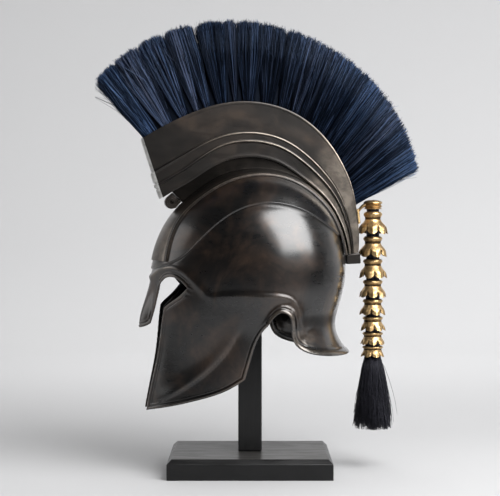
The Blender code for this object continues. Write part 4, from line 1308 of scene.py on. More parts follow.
@dataclass
class CrestSeat:
    """The band over the skull, its keel, and the scroll bracket in front of the keel."""

    curve: CrestCurve
    cap_rise: float
    front: float = 175.0
    back: float = 8.2
    thickness: float = 0.0018
    half_width: float = 0.0385
    brow_half_width: float = 0.0450
    edge_width: float = 0.0090
    # How strong the edge lines stay at the brow, and the painted sheen on the seat's front end.
    edge_rub_at_brow: float = 0.30
    brow_painted_sheen: float = 0.55
    clearance: float = 0.0007
    keel_half_width: float = 0.0085
    keel_front: float = 136.0
    keel_full: float = 135.7
    keel_fit: float = 0.0006
    edge_bead: float = 0.0009
    scroll_bearing: float = 140.1
    scroll_radius: float = 0.0081
    scroll_bar: float = 0.0030
    scroll_half_width: float = 0.0085
    scroll_turns: float = 1.9
    scroll_core: float = 0.0022
    scroll_tail: float = 136.5
    bar_rub: float = 0.1
    # The drum inside the curl is near-black, painted shade.
    drum_painted_shade: float = -0.8
    drum_half_width: float = 0.0074
    web_half_width: float = 0.0062

    def _top(self, bearing: Floats, offset: Floats) -> Floats:
        """Radius of the seat's upper face, away from the keel."""
        return self.curve.form.radius(bearing, offset) + self.cap_rise + self.clearance + self.thickness

    def _keel(self, bearing: float) -> float:
        """Height of the keel over the seat: up to the holder's inner edge, and 0 in front of it."""
        holder = float(self.curve.inner(max(bearing, self.curve.rows[-1].bearing)))
        full = max(holder + self.keel_fit - float(self._top(bearing, 0.0)), 0.0)
        return full * (1 - float(ease(bearing, self.keel_full, self.keel_front)))

    def build(self, bench: Bench, finish: Material) -> None:
        """Makes the seat with its keel, and the scroll bracket."""
        bearings = np.r_[np.linspace(self.back, self.front, 150), self.keel_front, self.keel_full]
        sections = [self._section(bearing) for bearing in np.unique(bearings)[::-1]]
        rings, rubs = (np.array(columns) for columns in zip(*sections))
        piece = bench.tube("crest_seat_band", rings, weld=1e-7, smooth_angle=50.0, rub=rubs)
        bench.deliver(piece, finish, "crest_seat")
        self._scroll(bench, finish)

    def _section(self, bearing: float) -> tuple[Floats, Floats]:
        """One ring round the seat at a bearing, and the rub of its points, painted light included."""
        widening = float(ease(bearing, 138.0, self.front))
        half = self.half_width + (self.brow_half_width - self.half_width) * widening
        fold = half - self.edge_width
        wing = np.r_[np.linspace(half, fold, 19), np.linspace(fold, self.keel_half_width + 0.0016, 9)[1:]]
        inwards = half - wing
        raised = bead(inwards, 0.0014, 0.0014)
        keel = max(self._keel(bearing), 1e-6)
        foot = self.keel_half_width + np.array([0.0008, 0.0002, 0.0])
        fillet = np.array([0.08, 0.35, 0.8]) * min(keel, 0.0015)
        crown = self.keel_half_width * np.array([0.98, 0.6, 0.0])
        offsets = np.r_[wing, foot, crown]
        near = self._top(bearing, offsets) + np.r_[self.edge_bead * raised, fillet, keel, keel, keel]
        under = np.linspace(half, -half, 9)
        lower = self._top(bearing, under) - self.thickness
        radius = np.r_[near, near[-2::-1], lower[::-1]]
        side = np.r_[offsets, -offsets[-2::-1], under[::-1]]

        edge_rub = 1 - (1 - self.edge_rub_at_brow) * float(ease(bearing, 128.0, 158.0))
        # A painted sheen on the seat's front end at the brow.
        brow_painted_sheen = self.brow_painted_sheen * float(ease(bearing, 139.0, 158.0))
        # Wear on the edge bead, plus a painted highlight line and a painted shade line with no relief; the
        # light lines fade at the brow.
        lines = (0.95 * raised + 0.5 * bead(inwards, 0.0072, 0.0012)) * edge_rub
        wing_rub = lines - 0.7 * bead(inwards, 0.0038, 0.0012) + brow_painted_sheen * (1 - raised)
        # The keel is near-black as painted shade under the holder; in front of it the seat's middle takes
        # the painted sheen.
        keel_shade_and_brow_sheen = float(ease(bearing, 137.0, 142.0)) - 1 + brow_painted_sheen
        rub = np.r_[wing_rub, np.full(6, keel_shade_and_brow_sheen)]
        return self.curve.form.crest_points(bearing, radius, side), np.r_[rub, rub[-2::-1], np.zeros(9)]

    def _web(self, centre: Floats) -> Floats:
        """The side view of the plate between the drum, whose centre is given, and the keel."""
        turn = radians(self.keel_front + 0.15)
        top = float(self.curve.inner(self.keel_front)) - 0.0009
        foot = float(self._top(self.keel_front, 0.0)) + 0.0009
        upper, lower = (radius * np.array([cos(turn), sin(turn)]) for radius in (top, foot))
        away = upper - centre
        reach = float(np.linalg.norm(away))
        swing = float(np.arctan2(away[1], away[0])) + float(np.arccos(min(self.scroll_radius / reach, 1.0)))
        touching = centre + self.scroll_radius * np.array([cos(swing), sin(swing)])
        return np.array([upper, touching, centre, lower])

    def _scroll(self, bench: Bench, finish: Material) -> None:
        """Makes the bracket: a bar on the seat that curls up at its front end."""
        turn = radians(self.scroll_bearing)
        bar = float(self._top(self.scroll_bearing, 0.0)) + self.scroll_bar / 2 + 0.0008
        centre = (bar + self.scroll_radius) * np.array([cos(turn), sin(turn)])
        share = shares(90)
        swing = turn - pi - share * self.scroll_turns * tau
        reach = self.scroll_radius + (self.scroll_core - self.scroll_radius) * share
        curl = centre + np.stack([reach * np.cos(swing), reach * np.sin(swing)], axis=-1)
        bearings = np.radians(np.linspace(self.scroll_tail, self.scroll_bearing - 1.2, 8))
        straight = bar * np.stack([np.cos(bearings), np.sin(bearings)], axis=-1)
        path = np.concatenate([straight, curl])
        tangent = np.gradient(path, axis=0)
        tangent /= np.linalg.norm(tangent, axis=1, keepdims=True)
        sideways = np.stack([-tangent[:, 1], tangent[:, 0]], axis=-1) * self.scroll_bar / 2
        half = self.scroll_half_width
        form = self.curve.form
        near, far = path + sideways, path - sideways
        edges = ((near, half), (near, -half), (far, -half), (far, half))
        rings = np.stack([form.crest_place(*spots.T, side) for spots, side in edges], axis=1)
        maker = MeshMaker()
        maker.tube(rings, rub=self.bar_rub)
        swing = ring_angles(40)
        rim = centre + self.scroll_radius * np.stack([np.cos(swing), np.sin(swing)], axis=-1)
        plates = (
            # The drum is painted near-black as the shade inside the curl.
            (rim, self.drum_half_width, self.drum_painted_shade),
            (self._web(centre), self.web_half_width, self.bar_rub),
        )
        for outline, half, rub in plates:
            rings = np.array([form.crest_place(*outline.T, side) for side in (half, -half)])
            maker.tube(rings, rub=rub)
        piece = bench.object("scroll_bracket", maker.mesh("scroll_bracket"))
        rounded(piece, 0.0007, angle=50.0)
        bench.deliver(piece, finish, "crest_scroll")


# ---- Hair ----


@dataclass
class Strands:
    """Many hairs as one mesh of thin tapered three-sided bars."""

    radius: float
    tip_radius: float

    def mesh(self, name: str, paths: Floats, tone: Floats, fading: Floats) -> Mesh:
        """Makes the mesh.

        Args:
            name: The mesh's name.
            paths: Strands by points along each of 3D points, root first.
            tone: One shade from 0 to 1 for each strand; lighter strands are thicker.
            fading: How faded each strand's colour is, from 0 to 1.

        Returns:
            The mesh, with each strand's tone and fading and its points' place along it stored at its points.
        """
        count, steps = paths.shape[:2]
        tangent = paths[:, -1] - paths[:, 0]
        tangent /= np.linalg.norm(tangent, axis=1, keepdims=True)
        side = np.cross(tangent, (0.0, 1.0, 0.0))
        side /= np.linalg.norm(side, axis=1, keepdims=True)
        other = np.cross(tangent, side)
        along = shares(steps)
        taper = self.radius + (self.tip_radius - self.radius) * along**1.5
        width = taper * (0.85 + 0.45 * tone[:, None])
        angles = ring_angles(3)
        circle = np.stack([np.cos(angles), np.sin(angles)], axis=-1)
        around = circle @ np.stack([side, other], axis=1)[:, None]
        rings = paths[:, :, None, :] + around * width[:, :, None, None]
        side_faces = [
            (ring + i, ring + (i + 1) % 3, ring + 3 + (i + 1) % 3, ring + 3 + i)
            for ring in range(0, 3 * (steps - 1), 3) for i in range(3)
        ]
        last = (steps - 1) * 3
        first = (np.arange(count) * steps * 3)[:, None, None]
        quads = np.array(side_faces) + first
        caps = np.array([(2, 1, 0), (last, last + 1, last + 2)]) + first
        mesh = bpy.data.meshes.new(name)
        mesh.from_pydata(
            rings.reshape(-1, 3).tolist(), [], quads.reshape(-1, 4).tolist() + caps.reshape(-1, 3).tolist()
        )
        values = {
            "tone": np.repeat(tone, steps * 3),
            "fading": np.repeat(fading, steps * 3),
            "along": np.tile(np.repeat(along, 3), count),
        }
        for label, numbers in values.items():
            mesh.attributes.new(label, "FLOAT", "POINT").data.foreach_set("value", numbers)
        mesh.shade_smooth()
        return mesh


class Wisps(NamedTuple):
    """Numbers for every wisp. Its tuft gives its middle bearing, its width at the tips and at the
    foot in degrees, how far it is parted from the next, how its tips close up, its lean and its shades.
    """

    place: Floats
    side: Floats
    middle: Floats
    width: Floats
    foot: Floats
    parted: Floats
    closing: Floats
    lean: Floats
    shade: Floats
    fade: Floats


@dataclass
class Plume:
    """The brush of stiff hair: uneven tufts that fan out from the channel, each of many pointed wisps."""

    curve: CrestCurve
    front: float = 129.4
    back: float = 30.5
    tufts: int = 19
    parted: Pair = (0.38, 0.72)
    wisps: int = 6000
    strands: int = 6
    fields: int = 3
    root_depth: float = 0.0050
    root_half_width: float = 0.0078
    tip_half_width: float = 0.0205
    root_spread: Pair = (0.52, 0.90)
    front_reach: float = 0.1997
    back_reach: float = 0.2202
    core_share: float = 0.42
    core_half_width: float = 0.0050
    bend_share: float = 0.62
    crossing_share: float = 0.16
    light_share: float = 0.26
    stray_share: float = 0.008
    stray_share_at_ends: float = 0.030
    stray_degrees: float = 2.8
    # Painted light along the crest: strands are lightest at the front, darkest about two fifths of the way
    # back, lighter again at the back.
    painted_light_along_crest: tuple[Pair, ...] = (
        (0.0, 1.15), (0.10, 1.15), (0.20, 0.95), (0.28, 1.00), (0.36, 0.52), (0.42, 0.34), (0.55, 0.38),
        (0.70, 0.44), (0.82, 0.56), (1.0, 0.85)
    )
    strand_radius: float = 0.00038
    strand_tip_radius: float = 0.00018
    length: tuple[Pair, ...] = (
        (0.0, 0.0), (0.25, -0.0004), (0.42, -0.0012), (0.60, 0.0002), (0.80, 0.0016), (1.0, 0.0030)
    )

    def _core(self, bench: Bench, finish: Material) -> None:
        """Makes the dense middle of the brush, which the strands cover, at the darkest tone as painted
        shade.
        """
        bearings = np.linspace(self.front - 1.0, self.back + 1.0, 140)
        outer = self.curve.outer(bearings)
        top = outer + (self.curve.hair(bearings) - outer) * self.core_share
        half = self.core_half_width
        levels = [(outer - self.root_depth, half), ((outer + top) / 2, half), (top, half * 0.5)]
        section = levels + [(radius, -wide) for radius, wide in reversed(levels)]
        rings = self.curve.form.crest_rings(bearings, section)
        # Tone 0 paints the core as the shade that shows between the tufts' roots.
        piece = bench.tube("plume_root_mass", rings, tone=0.0, fading=0.0, along=0.0)
        bench.deliver(piece, finish, "crest_plume")

    def _wisps(self, rng: Generator) -> Wisps:
        """Draws the tufts and deals the wisps out to them."""
        span = self.front - self.back
        bounds = np.cumsum(np.r_[0.0, rng.uniform(0.50, 1.50, self.tufts)])
        bounds /= bounds[-1]
        spot = rng.random(self.wisps)
        tuft = np.searchsorted(bounds, spot, side="right") - 1
        wide = np.diff(bounds)[tuft]
        width = wide * span
        middle = self.front - (bounds[tuft] + wide / 2) * span
        parted = 1.0 - ease((self.front - middle) / span, *self.parted)
        lean, shade, fade = (rng.normal(0.0, 1.0, self.tufts)[tuft] for _ in range(3))
        closing = (0.02 + 0.16 * rng.random(self.tufts) ** 3)[tuft] * (0.3 + 0.7 * parted)
        side = rng.uniform(-1.0, 1.0, self.wisps)
        narrow, wide_open = self.root_spread
        foot = width * (wide_open + (narrow - wide_open) * parted * (tuft > 0))
        place = (spot - bounds[tuft]) / wide - 0.5
        return Wisps(place, side, middle, width, foot, parted, closing, lean, shade, fade)

    def _paths(self, rng: Generator, wisps: Wisps) -> tuple[Floats, Floats]:
        """Works out where every strand runs.

        Args:
            rng: The source of chance.
            wisps: The wisps that the strands belong to.

        Returns:
            The strands' paths, and each one's share of the way along the crest.
        """
        span = self.front - self.back
        count = self.wisps * self.strands
        wisp = np.repeat(np.arange(self.wisps), self.strands)
        place, side, middle, width, foot, parted, closing, lean, _, _ = wisps
        root_bearing = middle[wisp] - (place[wisp] + rng.normal(0.0, 0.04, count)) * foot[wisp]
        root_bearing = np.clip(root_bearing, self.back + 0.2, self.front)
        root_side = np.clip(side[wisp] + rng.normal(0.0, 0.10, count), -1.0, 1.0) * self.root_half_width
        crossing = np.where(rng.random(count) < self.crossing_share, 0.85, 0.15)
        bend_place = middle + 0.18 * lean - (place + rng.normal(0.0, 0.03, self.wisps)) * width
        closed = width * (1 - closing)
        tip_place = middle + 0.30 * lean - (place + rng.normal(0.0, 0.05, self.wisps)) * closed
        drift = rng.normal(0.0, 1.0, count) * crossing
        bend_bearing = bend_place[wisp] + 0.6 * drift
        tip_bearing = tip_place[wisp] + drift
        tips = 0.92 * side[wisp] * self.tip_half_width + rng.normal(0.0, 0.0008, count)
        outer = self.curve.outer(root_bearing)
        shortfall = 0.040 * (1 - rng.random(self.wisps) ** 3) + 0.05 * parted * np.abs(2 * place) ** 6
        ragged = np.interp((self.front - tip_bearing) / span, *np.array(self.length).T)
        full = self.curve.hair(tip_bearing) + ragged
        reach = (full - 0.0004 - outer) * (
            1 - shortfall[wisp] - 0.030 * rng.random(count) - 0.12 * rng.random(count) ** 4
        )
        at_an_end = (root_bearing > self.front - 2.0) | (root_bearing < self.back + 2.5)
        stray = rng.random(count) < np.where(at_an_end, self.stray_share_at_ends, self.stray_share)
        tip_bearing = tip_bearing + stray * rng.normal(0.0, self.stray_degrees, count)
        tip_bearing = np.clip(tip_bearing, self.back - 7.0, self.front + 3.0)
        tips = tips + stray * rng.normal(0.0, 0.003, count)
        tips = np.clip(tips, -self.tip_half_width, self.tip_half_width)
        ahead = np.cos(np.radians(tip_bearing))
        room = np.where(ahead < 0, self.front_reach, self.back_reach) / np.maximum(np.abs(ahead), 1e-3)
        tip_radius = np.minimum(outer + reach, room)
        root_radius = outer - self.root_depth * rng.random(count)
        paths = np.stack([
            self.curve.form.crest_points(bearing, root_radius + (tip_radius - root_radius) * share,
                                         root_side + (tips - root_side) * share**0.85)
            for share, bearing in ((0.0, root_bearing), (self.bend_share, bend_bearing), (1.0, tip_bearing))
        ], axis=1)
        return paths, (self.front - root_bearing) / span

    def _shades(self, rng: Generator, wisps: Wisps, along: Floats) -> tuple[Floats, Floats]:
        """Works out every strand's tone, painted light and shade included, and its fading.

        Args:
            rng: The source of chance.
            wisps: The wisps that the strands belong to.
            along: Each strand's share of the way along the crest.

        Returns:
            The tones and the fading, from 0 to 1.
        """
        count = len(along)
        light = rng.random(count) < self.light_share
        tone = np.where(light, rng.uniform(0.55, 1.0, count), 0.16 * rng.random(count))
        shared = (0.50 + rng.random(self.wisps)) * (1 + (0.12 + 0.24 * wisps.parted) * wisps.shade)
        # Painted shade between the tufts: wisps at a tuft's edges are darker, most where the tufts stand
        # apart.
        shared = shared * (1 - (0.30 + 0.60 * wisps.parted) * np.abs(2 * wisps.place) ** 5)
        # Painted light along the crest scales every strand's tone.
        tone = tone * np.repeat(shared, self.strands) * np.interp(along, *np.array(self.painted_light_along_crest).T)
        faded = np.repeat(wisps.fade, self.strands)
        fading = 0.35 + 0.30 * faded + 0.25 * rng.normal(0.0, 1.0, count) - 0.35 * along
        return np.clip(tone, 0.0, 1.0), np.clip(fading, 0.0, 1.0)

    def build(self, bench: Bench, finish: Material, rng: Generator) -> None:
        """Makes the brush.

        Args:
            bench: Takes the finished pieces.
            finish: The hair's material.
            rng: The source of chance.
        """
        self._core(bench, finish)
        wisps = self._wisps(rng)
        paths, along = self._paths(rng, wisps)
        tone, fading = self._shades(rng, wisps, along)
        hair = Strands(self.strand_radius, self.strand_tip_radius)
        for index in range(self.fields):
            here = (along * self.fields).astype(int).clip(0, self.fields - 1) == index
            name = f"plume_hair_{index + 1}"
            mesh = hair.mesh(name, paths[here], tone[here], fading[here])
            bench.deliver(bench.object(name, mesh), finish, "crest_plume")


# ---- Tail ----


@dataclass
class Tail:
    """The hanging tail: bracket and cup, bound hair, gilt collars and a loose tassel."""

    curve: CrestCurve
    x: float = 0.1625
    core_top: float = 0.3465
    core_top_radius: float = 0.0082
    core_foot_radius: float = 0.0100
    cup_top: float = 0.3515
    cup_foot: float = 0.3395
    cup_radius: float = 0.0125
    bracket_bearings: Pair = (28.5, 22.0)
    bracket_half_width: float = 0.0125
    bracket_thickness: float = 0.0030
    bracket_rub: float = 0.1
    collars: int = 8
    collars_top: float = 0.3360
    collars_foot: float = 0.1440
    first_share: float = 1.34
    fill: float = 0.90
    top_radius: float = 0.0192
    foot_radius: float = 0.0150
    bore_gap: float = 0.0004
    petals: int = 7
    tassel_top: float = 0.1425
    tassel_foot: float = 0.0520
    tassel_neck_radius: float = 0.0105
    tassel_foot_radius: float = 0.0270
    tassel_strands: int = 3600
    tassel_locks: int = 60
    tassel_core_share: float = 0.62
    tassel_core_foot: float = 0.0720
    tassel_steps: int = 6
    strand_radius: float = 0.00030
    strand_tip_radius: float = 0.00014
    stray_share: float = 0.012
    collar_turn: float = 0.31
    petal_notch: float = 0.20
    spine_half_width: float = 0.22

    def _core_radius(self, height: Floats | float) -> Floats | float:
        """Radius of the bound hair at a height."""
        share = (self.core_top - height) / (self.core_top - self.tassel_top)
        return self.core_top_radius + (self.core_foot_radius - self.core_top_radius) * share

    def _hanger(self, bench: Bench, finish: Material) -> None:
        """Makes the bracket plate, its arm and the cup."""
        maker = MeshMaker()
        swell = shares(12)
        dome_radius = self.cup_radius * np.sin(swell * pi / 2) ** 0.8
        dome_height = self.cup_top - 0.0042 * (1 - np.cos(swell * pi / 2))
        side = shares(16)[1:]
        side_radius = self.cup_radius * (0.90 + 0.10 * np.cos(4 * pi * side))
        side_height = dome_height[-1] + (self.cup_foot - dome_height[-1]) * side
        bore = self.core_top_radius + self.bore_gap
        radius = np.r_[np.maximum(dome_radius, 0.0006), side_radius, bore, bore]
        height = np.r_[dome_height, side_height, self.cup_foot, self.core_top + 0.0004]
        rings = turned(radius, height, ring_angles(48), self.x)
        maker.tube(rings, rub=(radius / self.cup_radius * 1.2 - 0.7)[:, None])

        form = self.curve.form
        bearings = np.linspace(*self.bracket_bearings, 10)
        low = self.curve.outer(bearings) + 0.0004
        thick, half = self.bracket_thickness, self.bracket_half_width
        levels = [(low, half), (low + thick * 0.7, half), (low + thick, half * 0.86)]
        section = levels + [(radius, -wide) for radius, wide in reversed(levels)]
        maker.tube(form.crest_rings(bearings, section), rub=self.bracket_rub)

        start_bearing = self.bracket_bearings[0] - 2.0
        start = form.crest_points(start_bearing, float(self.curve.outer(start_bearing)) + 0.0015, 0.0)
        end = np.array([self.x - self.core_top_radius - 0.002, 0.0, 0.345])
        share = shares(12)[:, None]
        path = start + (end - start) * share + np.array([0.0, 0.0, 0.0022]) * np.sin(pi * share)
        angles = ring_angles(16)
        ring = np.stack([0 * angles, 0.0050 * np.cos(angles), 0.0028 * np.sin(angles)], axis=-1)
        maker.tube(path[:, None, :] + ring[None], rub=self.bracket_rub)
        piece = bench.object("tail_bracket", maker.mesh("tail_bracket"))
        bench.deliver(piece, finish, "tail_hanger")

    def _bound_hair(self, bench: Bench, finish: Material, rng: Generator) -> None:
        """Makes the hair inside the collars: a ribbed bundle of locks."""
        sides, steps = 60, 120
        heights = np.linspace(self.core_top - 0.0006, self.tassel_top + 0.0006, steps)
        angles = ring_angles(sides)
        twist = heights[:, None] * 16.0
        locks = 0.10 * np.abs(np.sin(5 * (angles + twist))) + 0.02 * rng.random((steps, sides))
        radius = self._core_radius(heights)[:, None] * (0.895 + locks * 0.8)
        rings = turned(radius, heights, angles, self.x)
        # Painted shade: darker in the valleys between the locks, lighter on their tops.
        tone = np.clip(locks * 6.0, 0.0, 0.8)
        piece = bench.tube("tail_bound_hair", rings, smooth_angle=60.0, tone=tone, fading=0.0, along=0.6)
        bench.deliver(piece, finish, "tail_core")

    def _spans(self) -> list[Pair]:
        """(top, foot) heights of the collars, each shorter than the one above it."""
        mean = (self.collars_top - self.collars_foot) / self.collars
        pitch = mean * np.linspace(self.first_share, 2 - self.first_share, self.collars)
        top = self.collars_top - np.r_[0.0, np.cumsum(pitch)[:-1]]
        return list(zip(top.tolist(), (top - self.fill * pitch).tolist()))

    def _collar(self, bench: Bench, finish: Material, index: int, top: float, foot: float) -> None:
        """Makes a gilt collar: a beaded ring over a calyx of petals that opens downwards.

        Args:
            bench: Takes the finished piece.
            finish: The gilding.
            index: Which collar it is, from 0 at the top.
            top: Height of its upper edge.
            foot: Height of its petals' tips.
        """
        turn = index * self.collar_turn
        share = index / (self.collars - 1)
        wide = self.top_radius + (self.foot_radius - self.top_radius) * share
        bore = self._core_radius(foot) + self.bore_gap
        tall = top - foot
        outer = natural_spline(
            (0.0, 0.05, 0.12, 0.20, 0.27, 0.36, 0.52, 0.70, 0.86, 1.0),
            (bore + 0.0012, bore + 0.0026, bore + 0.0033, bore + 0.0024, bore + 0.0013, bore + 0.0014,
             bore + 0.45 * (wide - bore), wide * 0.93, wide * 0.985, wide * 1.02),
        )
        angles = ring_angles(12 * self.petals) + turn
        petal = np.abs(np.cos(self.petals * (angles - turn) / 2))
        spine = soft_ridge(np.arccos(np.clip(petal, 0, 1)), 0.0, self.spine_half_width)
        notch = self.petal_notch * (1 - petal) ** 1.2
        down = shares(34)[:, None]
        opened = ease(down, 0.30, 0.95)
        height = top - tall * down * (1 - notch * opened)
        radius = outer(down[:, 0])[:, None] * (1 + opened * (0.16 * (petal**0.7 - 1) + 0.035 * spine))
        hollow = soft_ridge(down, 0.30, 0.07) + 0.9 * opened * (1 - petal) ** 1.5
        rub = 0.45 - 1.25 * hollow + 0.3 * opened * spine

        up = np.linspace(1.0, 0.0, 12)[:, None]
        inner_open = ease(up, 0.42, 1.0)
        inner_radius = bore + (wide - 0.0016 - bore) * inner_open**1.3 * (1 + 0.10 * (petal - 1))
        inner_height = top - 0.0008 - (tall - 0.0016) * up * (1 - notch * ease(up, 0.30, 0.95))
        surface = turned(np.r_[radius, inner_radius], np.r_[height, inner_height], angles, self.x)
        maker = MeshMaker()
        maker.grid(surface, around=True, down=True, rub=np.r_[rub, np.full(inner_radius.shape, -0.7)])
        name = f"gilt_collar_{index + 1}"
        piece = bench.object(name, maker.mesh(name, smooth_angle=60.0))
        bench.deliver(piece, finish, f"tail_collar_{index + 1}")

    def _tassel(self, bench: Bench, finish: Material, rng: Generator) -> None:
        """Makes the loose hair below the last collar."""
        count, locks = self.tassel_strands, self.tassel_locks
        lock = rng.integers(0, locks, count)
        lock_angle = rng.uniform(0.0, tau, locks)
        lock_reach = np.sqrt(rng.random(locks))
        lock_length = rng.normal(0.0, 0.05, locks)
        angle = lock_angle[lock] + rng.normal(0.0, 0.16, count)
        reach = np.clip(lock_reach[lock] + rng.normal(0.0, 0.09, count), 0.0, 1.05)
        neck = self.tassel_neck_radius * np.sqrt(rng.random(count))
        neck_angle = angle + rng.normal(0.0, 0.35, count)
        shortfall = 0.12 * (1 - reach) * rng.random(count) + 0.20 * rng.random(count) ** 3
        full = self.tassel_top - self.tassel_foot
        length = full * np.clip(0.97 + lock_length[lock] - shortfall, 0.3, 1.0)
        stray = (rng.random(count) < self.stray_share) * rng.random(count)
        tip = (self.tassel_foot_radius - 0.0008) * reach**0.55 * (0.92 + 0.08 * rng.random(count))
        tip = tip + 0.012 * stray
        sway = rng.normal(0.0, 0.0009, (count, 2)) + rng.normal(0.0, 0.0007, (locks, 2))[lock]
        share = shares(self.tassel_steps)
        radius = neck[:, None] + (tip - neck)[:, None] * share**0.75 * (1.0 - 0.10 * share**4)
        around = neck_angle[:, None] + (angle - neck_angle)[:, None] * share
        height = self.tassel_top + 0.004 - (length + 0.004)[:, None] * share
        paths = turned(radius, height, around, self.x)
        wave = 1.6 * share * np.sin(1.6 * pi * share + 1.3 * lock[:, None])
        paths[..., :2] += wave[..., None] * sway[:, None]
        tone = np.clip(0.35 * rng.random(locks)[lock] + 0.65 * rng.random(count) ** 1.6, 0.0, 1.0)
        hair = Strands(self.strand_radius, self.strand_tip_radius)
        piece = bench.object("tassel_hair", hair.mesh("tassel_hair", paths, tone, 0 * tone))
        bench.deliver(piece, finish, "tail_tassel")

        share = shares(14)
        opening = self.tassel_foot_radius * self.tassel_core_share - self.tassel_neck_radius
        radius = self.tassel_neck_radius + opening * share**0.85
        radius = radius * (1 - 0.55 * ease(share, 0.8, 1.0))
        heights = self.tassel_top + (self.tassel_core_foot - self.tassel_top) * share
        rings = turned(radius, heights, ring_angles(28), self.x)
        core = bench.tube("tassel_core", rings, tone=0.1, fading=0.0, along=0.3)
        bench.deliver(core, finish, "tail_tassel")

    def build(self, bench: Bench, gilding: Material, hair: Material, rng: Generator) -> None:
        """Makes every piece of the tail.

        Args:
            bench: Takes the finished pieces.
            gilding: The material of the bracket and the collars.
            hair: The black hair's material.
            rng: The source of chance.
        """
        self._hanger(bench, gilding)
        self._bound_hair(bench, hair, rng)
        for index, (top, foot) in enumerate(self._spans()):
            self._collar(bench, gilding, index, top, foot)
        self._tassel(bench, hair, rng)


# ---- Stand ----


@dataclass
class Stand:
    """The chamfered base and the square post with the round block inside the crown."""

    chamfer: float = 0.006
    edge: float = 0.0008
    post_edge: float = 0.0016
    block_radius: float = 0.036
    block_foot: float = 0.350
    block_dome: float = 0.076
    block_x: float = 0.0080
    post_side: float = 0.0305
    post_lap: float = 0.004

    @staticmethod
    def _block(bench: Bench, name: str, low: Vector, high: Vector, chamfer: float = 0.0) -> Object:
        """Makes a block of the stand.

        Args:
            bench: Takes the block.
            name: The block's name.
            low: Its lowest corner.
            high: Its highest corner.
            chamfer: Width of the chamfer round its top; 0 leaves it square.

        Returns:
            The block.
        """
        bm = bmesh.new()
        bmesh.ops.create_cube(bm, size=1.0)
        bmesh.ops.scale(bm, verts=bm.verts, vec=high - low)
        bmesh.ops.translate(bm, verts=bm.verts, vec=(low + high) / 2)
        if chamfer:
            middle = (low.z + high.z) / 2
            top = [edge for edge in bm.edges if all(vert.co.z > middle for vert in edge.verts)]
            bmesh.ops.bevel(bm, geom=top, offset=chamfer, segments=1, affect="EDGES")
        mesh = bpy.data.meshes.new(name)
        bm.to_mesh(mesh)
        bm.free()
        return bench.object(name, mesh, Seat.STAND)

    def build(self, bench: Bench, base_finish: Material, post_finish: Material) -> None:
        """Makes the base and the post where their solids stand.

        Args:
            bench: Takes the finished pieces.
            base_finish: The base's paint.
            post_finish: The post's paint.
        """
        low, high = (Vector(corner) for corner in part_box("stand_base"))
        base = self._block(bench, "painted_base", low, high, self.chamfer)
        rounded(base, self.edge, segments=3, angle=20.0)
        bench.deliver(base, base_finish, "stand_base")

        low, high = (Vector(corner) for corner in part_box("stand_post"))
        half = self.post_side / 2
        top = Vector((half, half, self.block_foot + self.post_lap))
        post = self._block(bench, "painted_post", Vector((-half, -half, low.z)), top)
        rounded(post, self.post_edge, segments=3)
        bench.deliver(post, post_finish, "stand_post")

        swing = np.linspace(float(np.arcsin(self.block_radius / self.block_dome)), 0.03, 12)
        centre = high.z - self.block_dome
        radius = np.r_[self.block_radius * 0.8, self.block_radius * 0.97, self.block_dome * np.sin(swing)]
        height = np.r_[self.block_foot, self.block_foot + 0.004, centre + self.block_dome * np.cos(swing)]
        maker = MeshMaker()
        maker.tube(turned(radius, height, ring_angles(48), self.block_x))
        block = bench.object("painted_head_block", maker.mesh("painted_head_block"), Seat.STAND)
        bench.deliver(block, post_finish, "stand_post")


# ---- Studio ----


class Role(Enum):
    """What a light does."""

    FULL = "lights everything"
    WASH = "lights matt surfaces and isn't mirrored in the metal"
    MIRROR = "is only seen mirrored in the metal"


class Softbox(NamedTuple):
    """A soft rectangular light."""

    name: str
    place: Triple
    size: Pair
    watts: float
    role: Role = Role.FULL
    aim: Triple = (0.0, 0.0, 0.30)


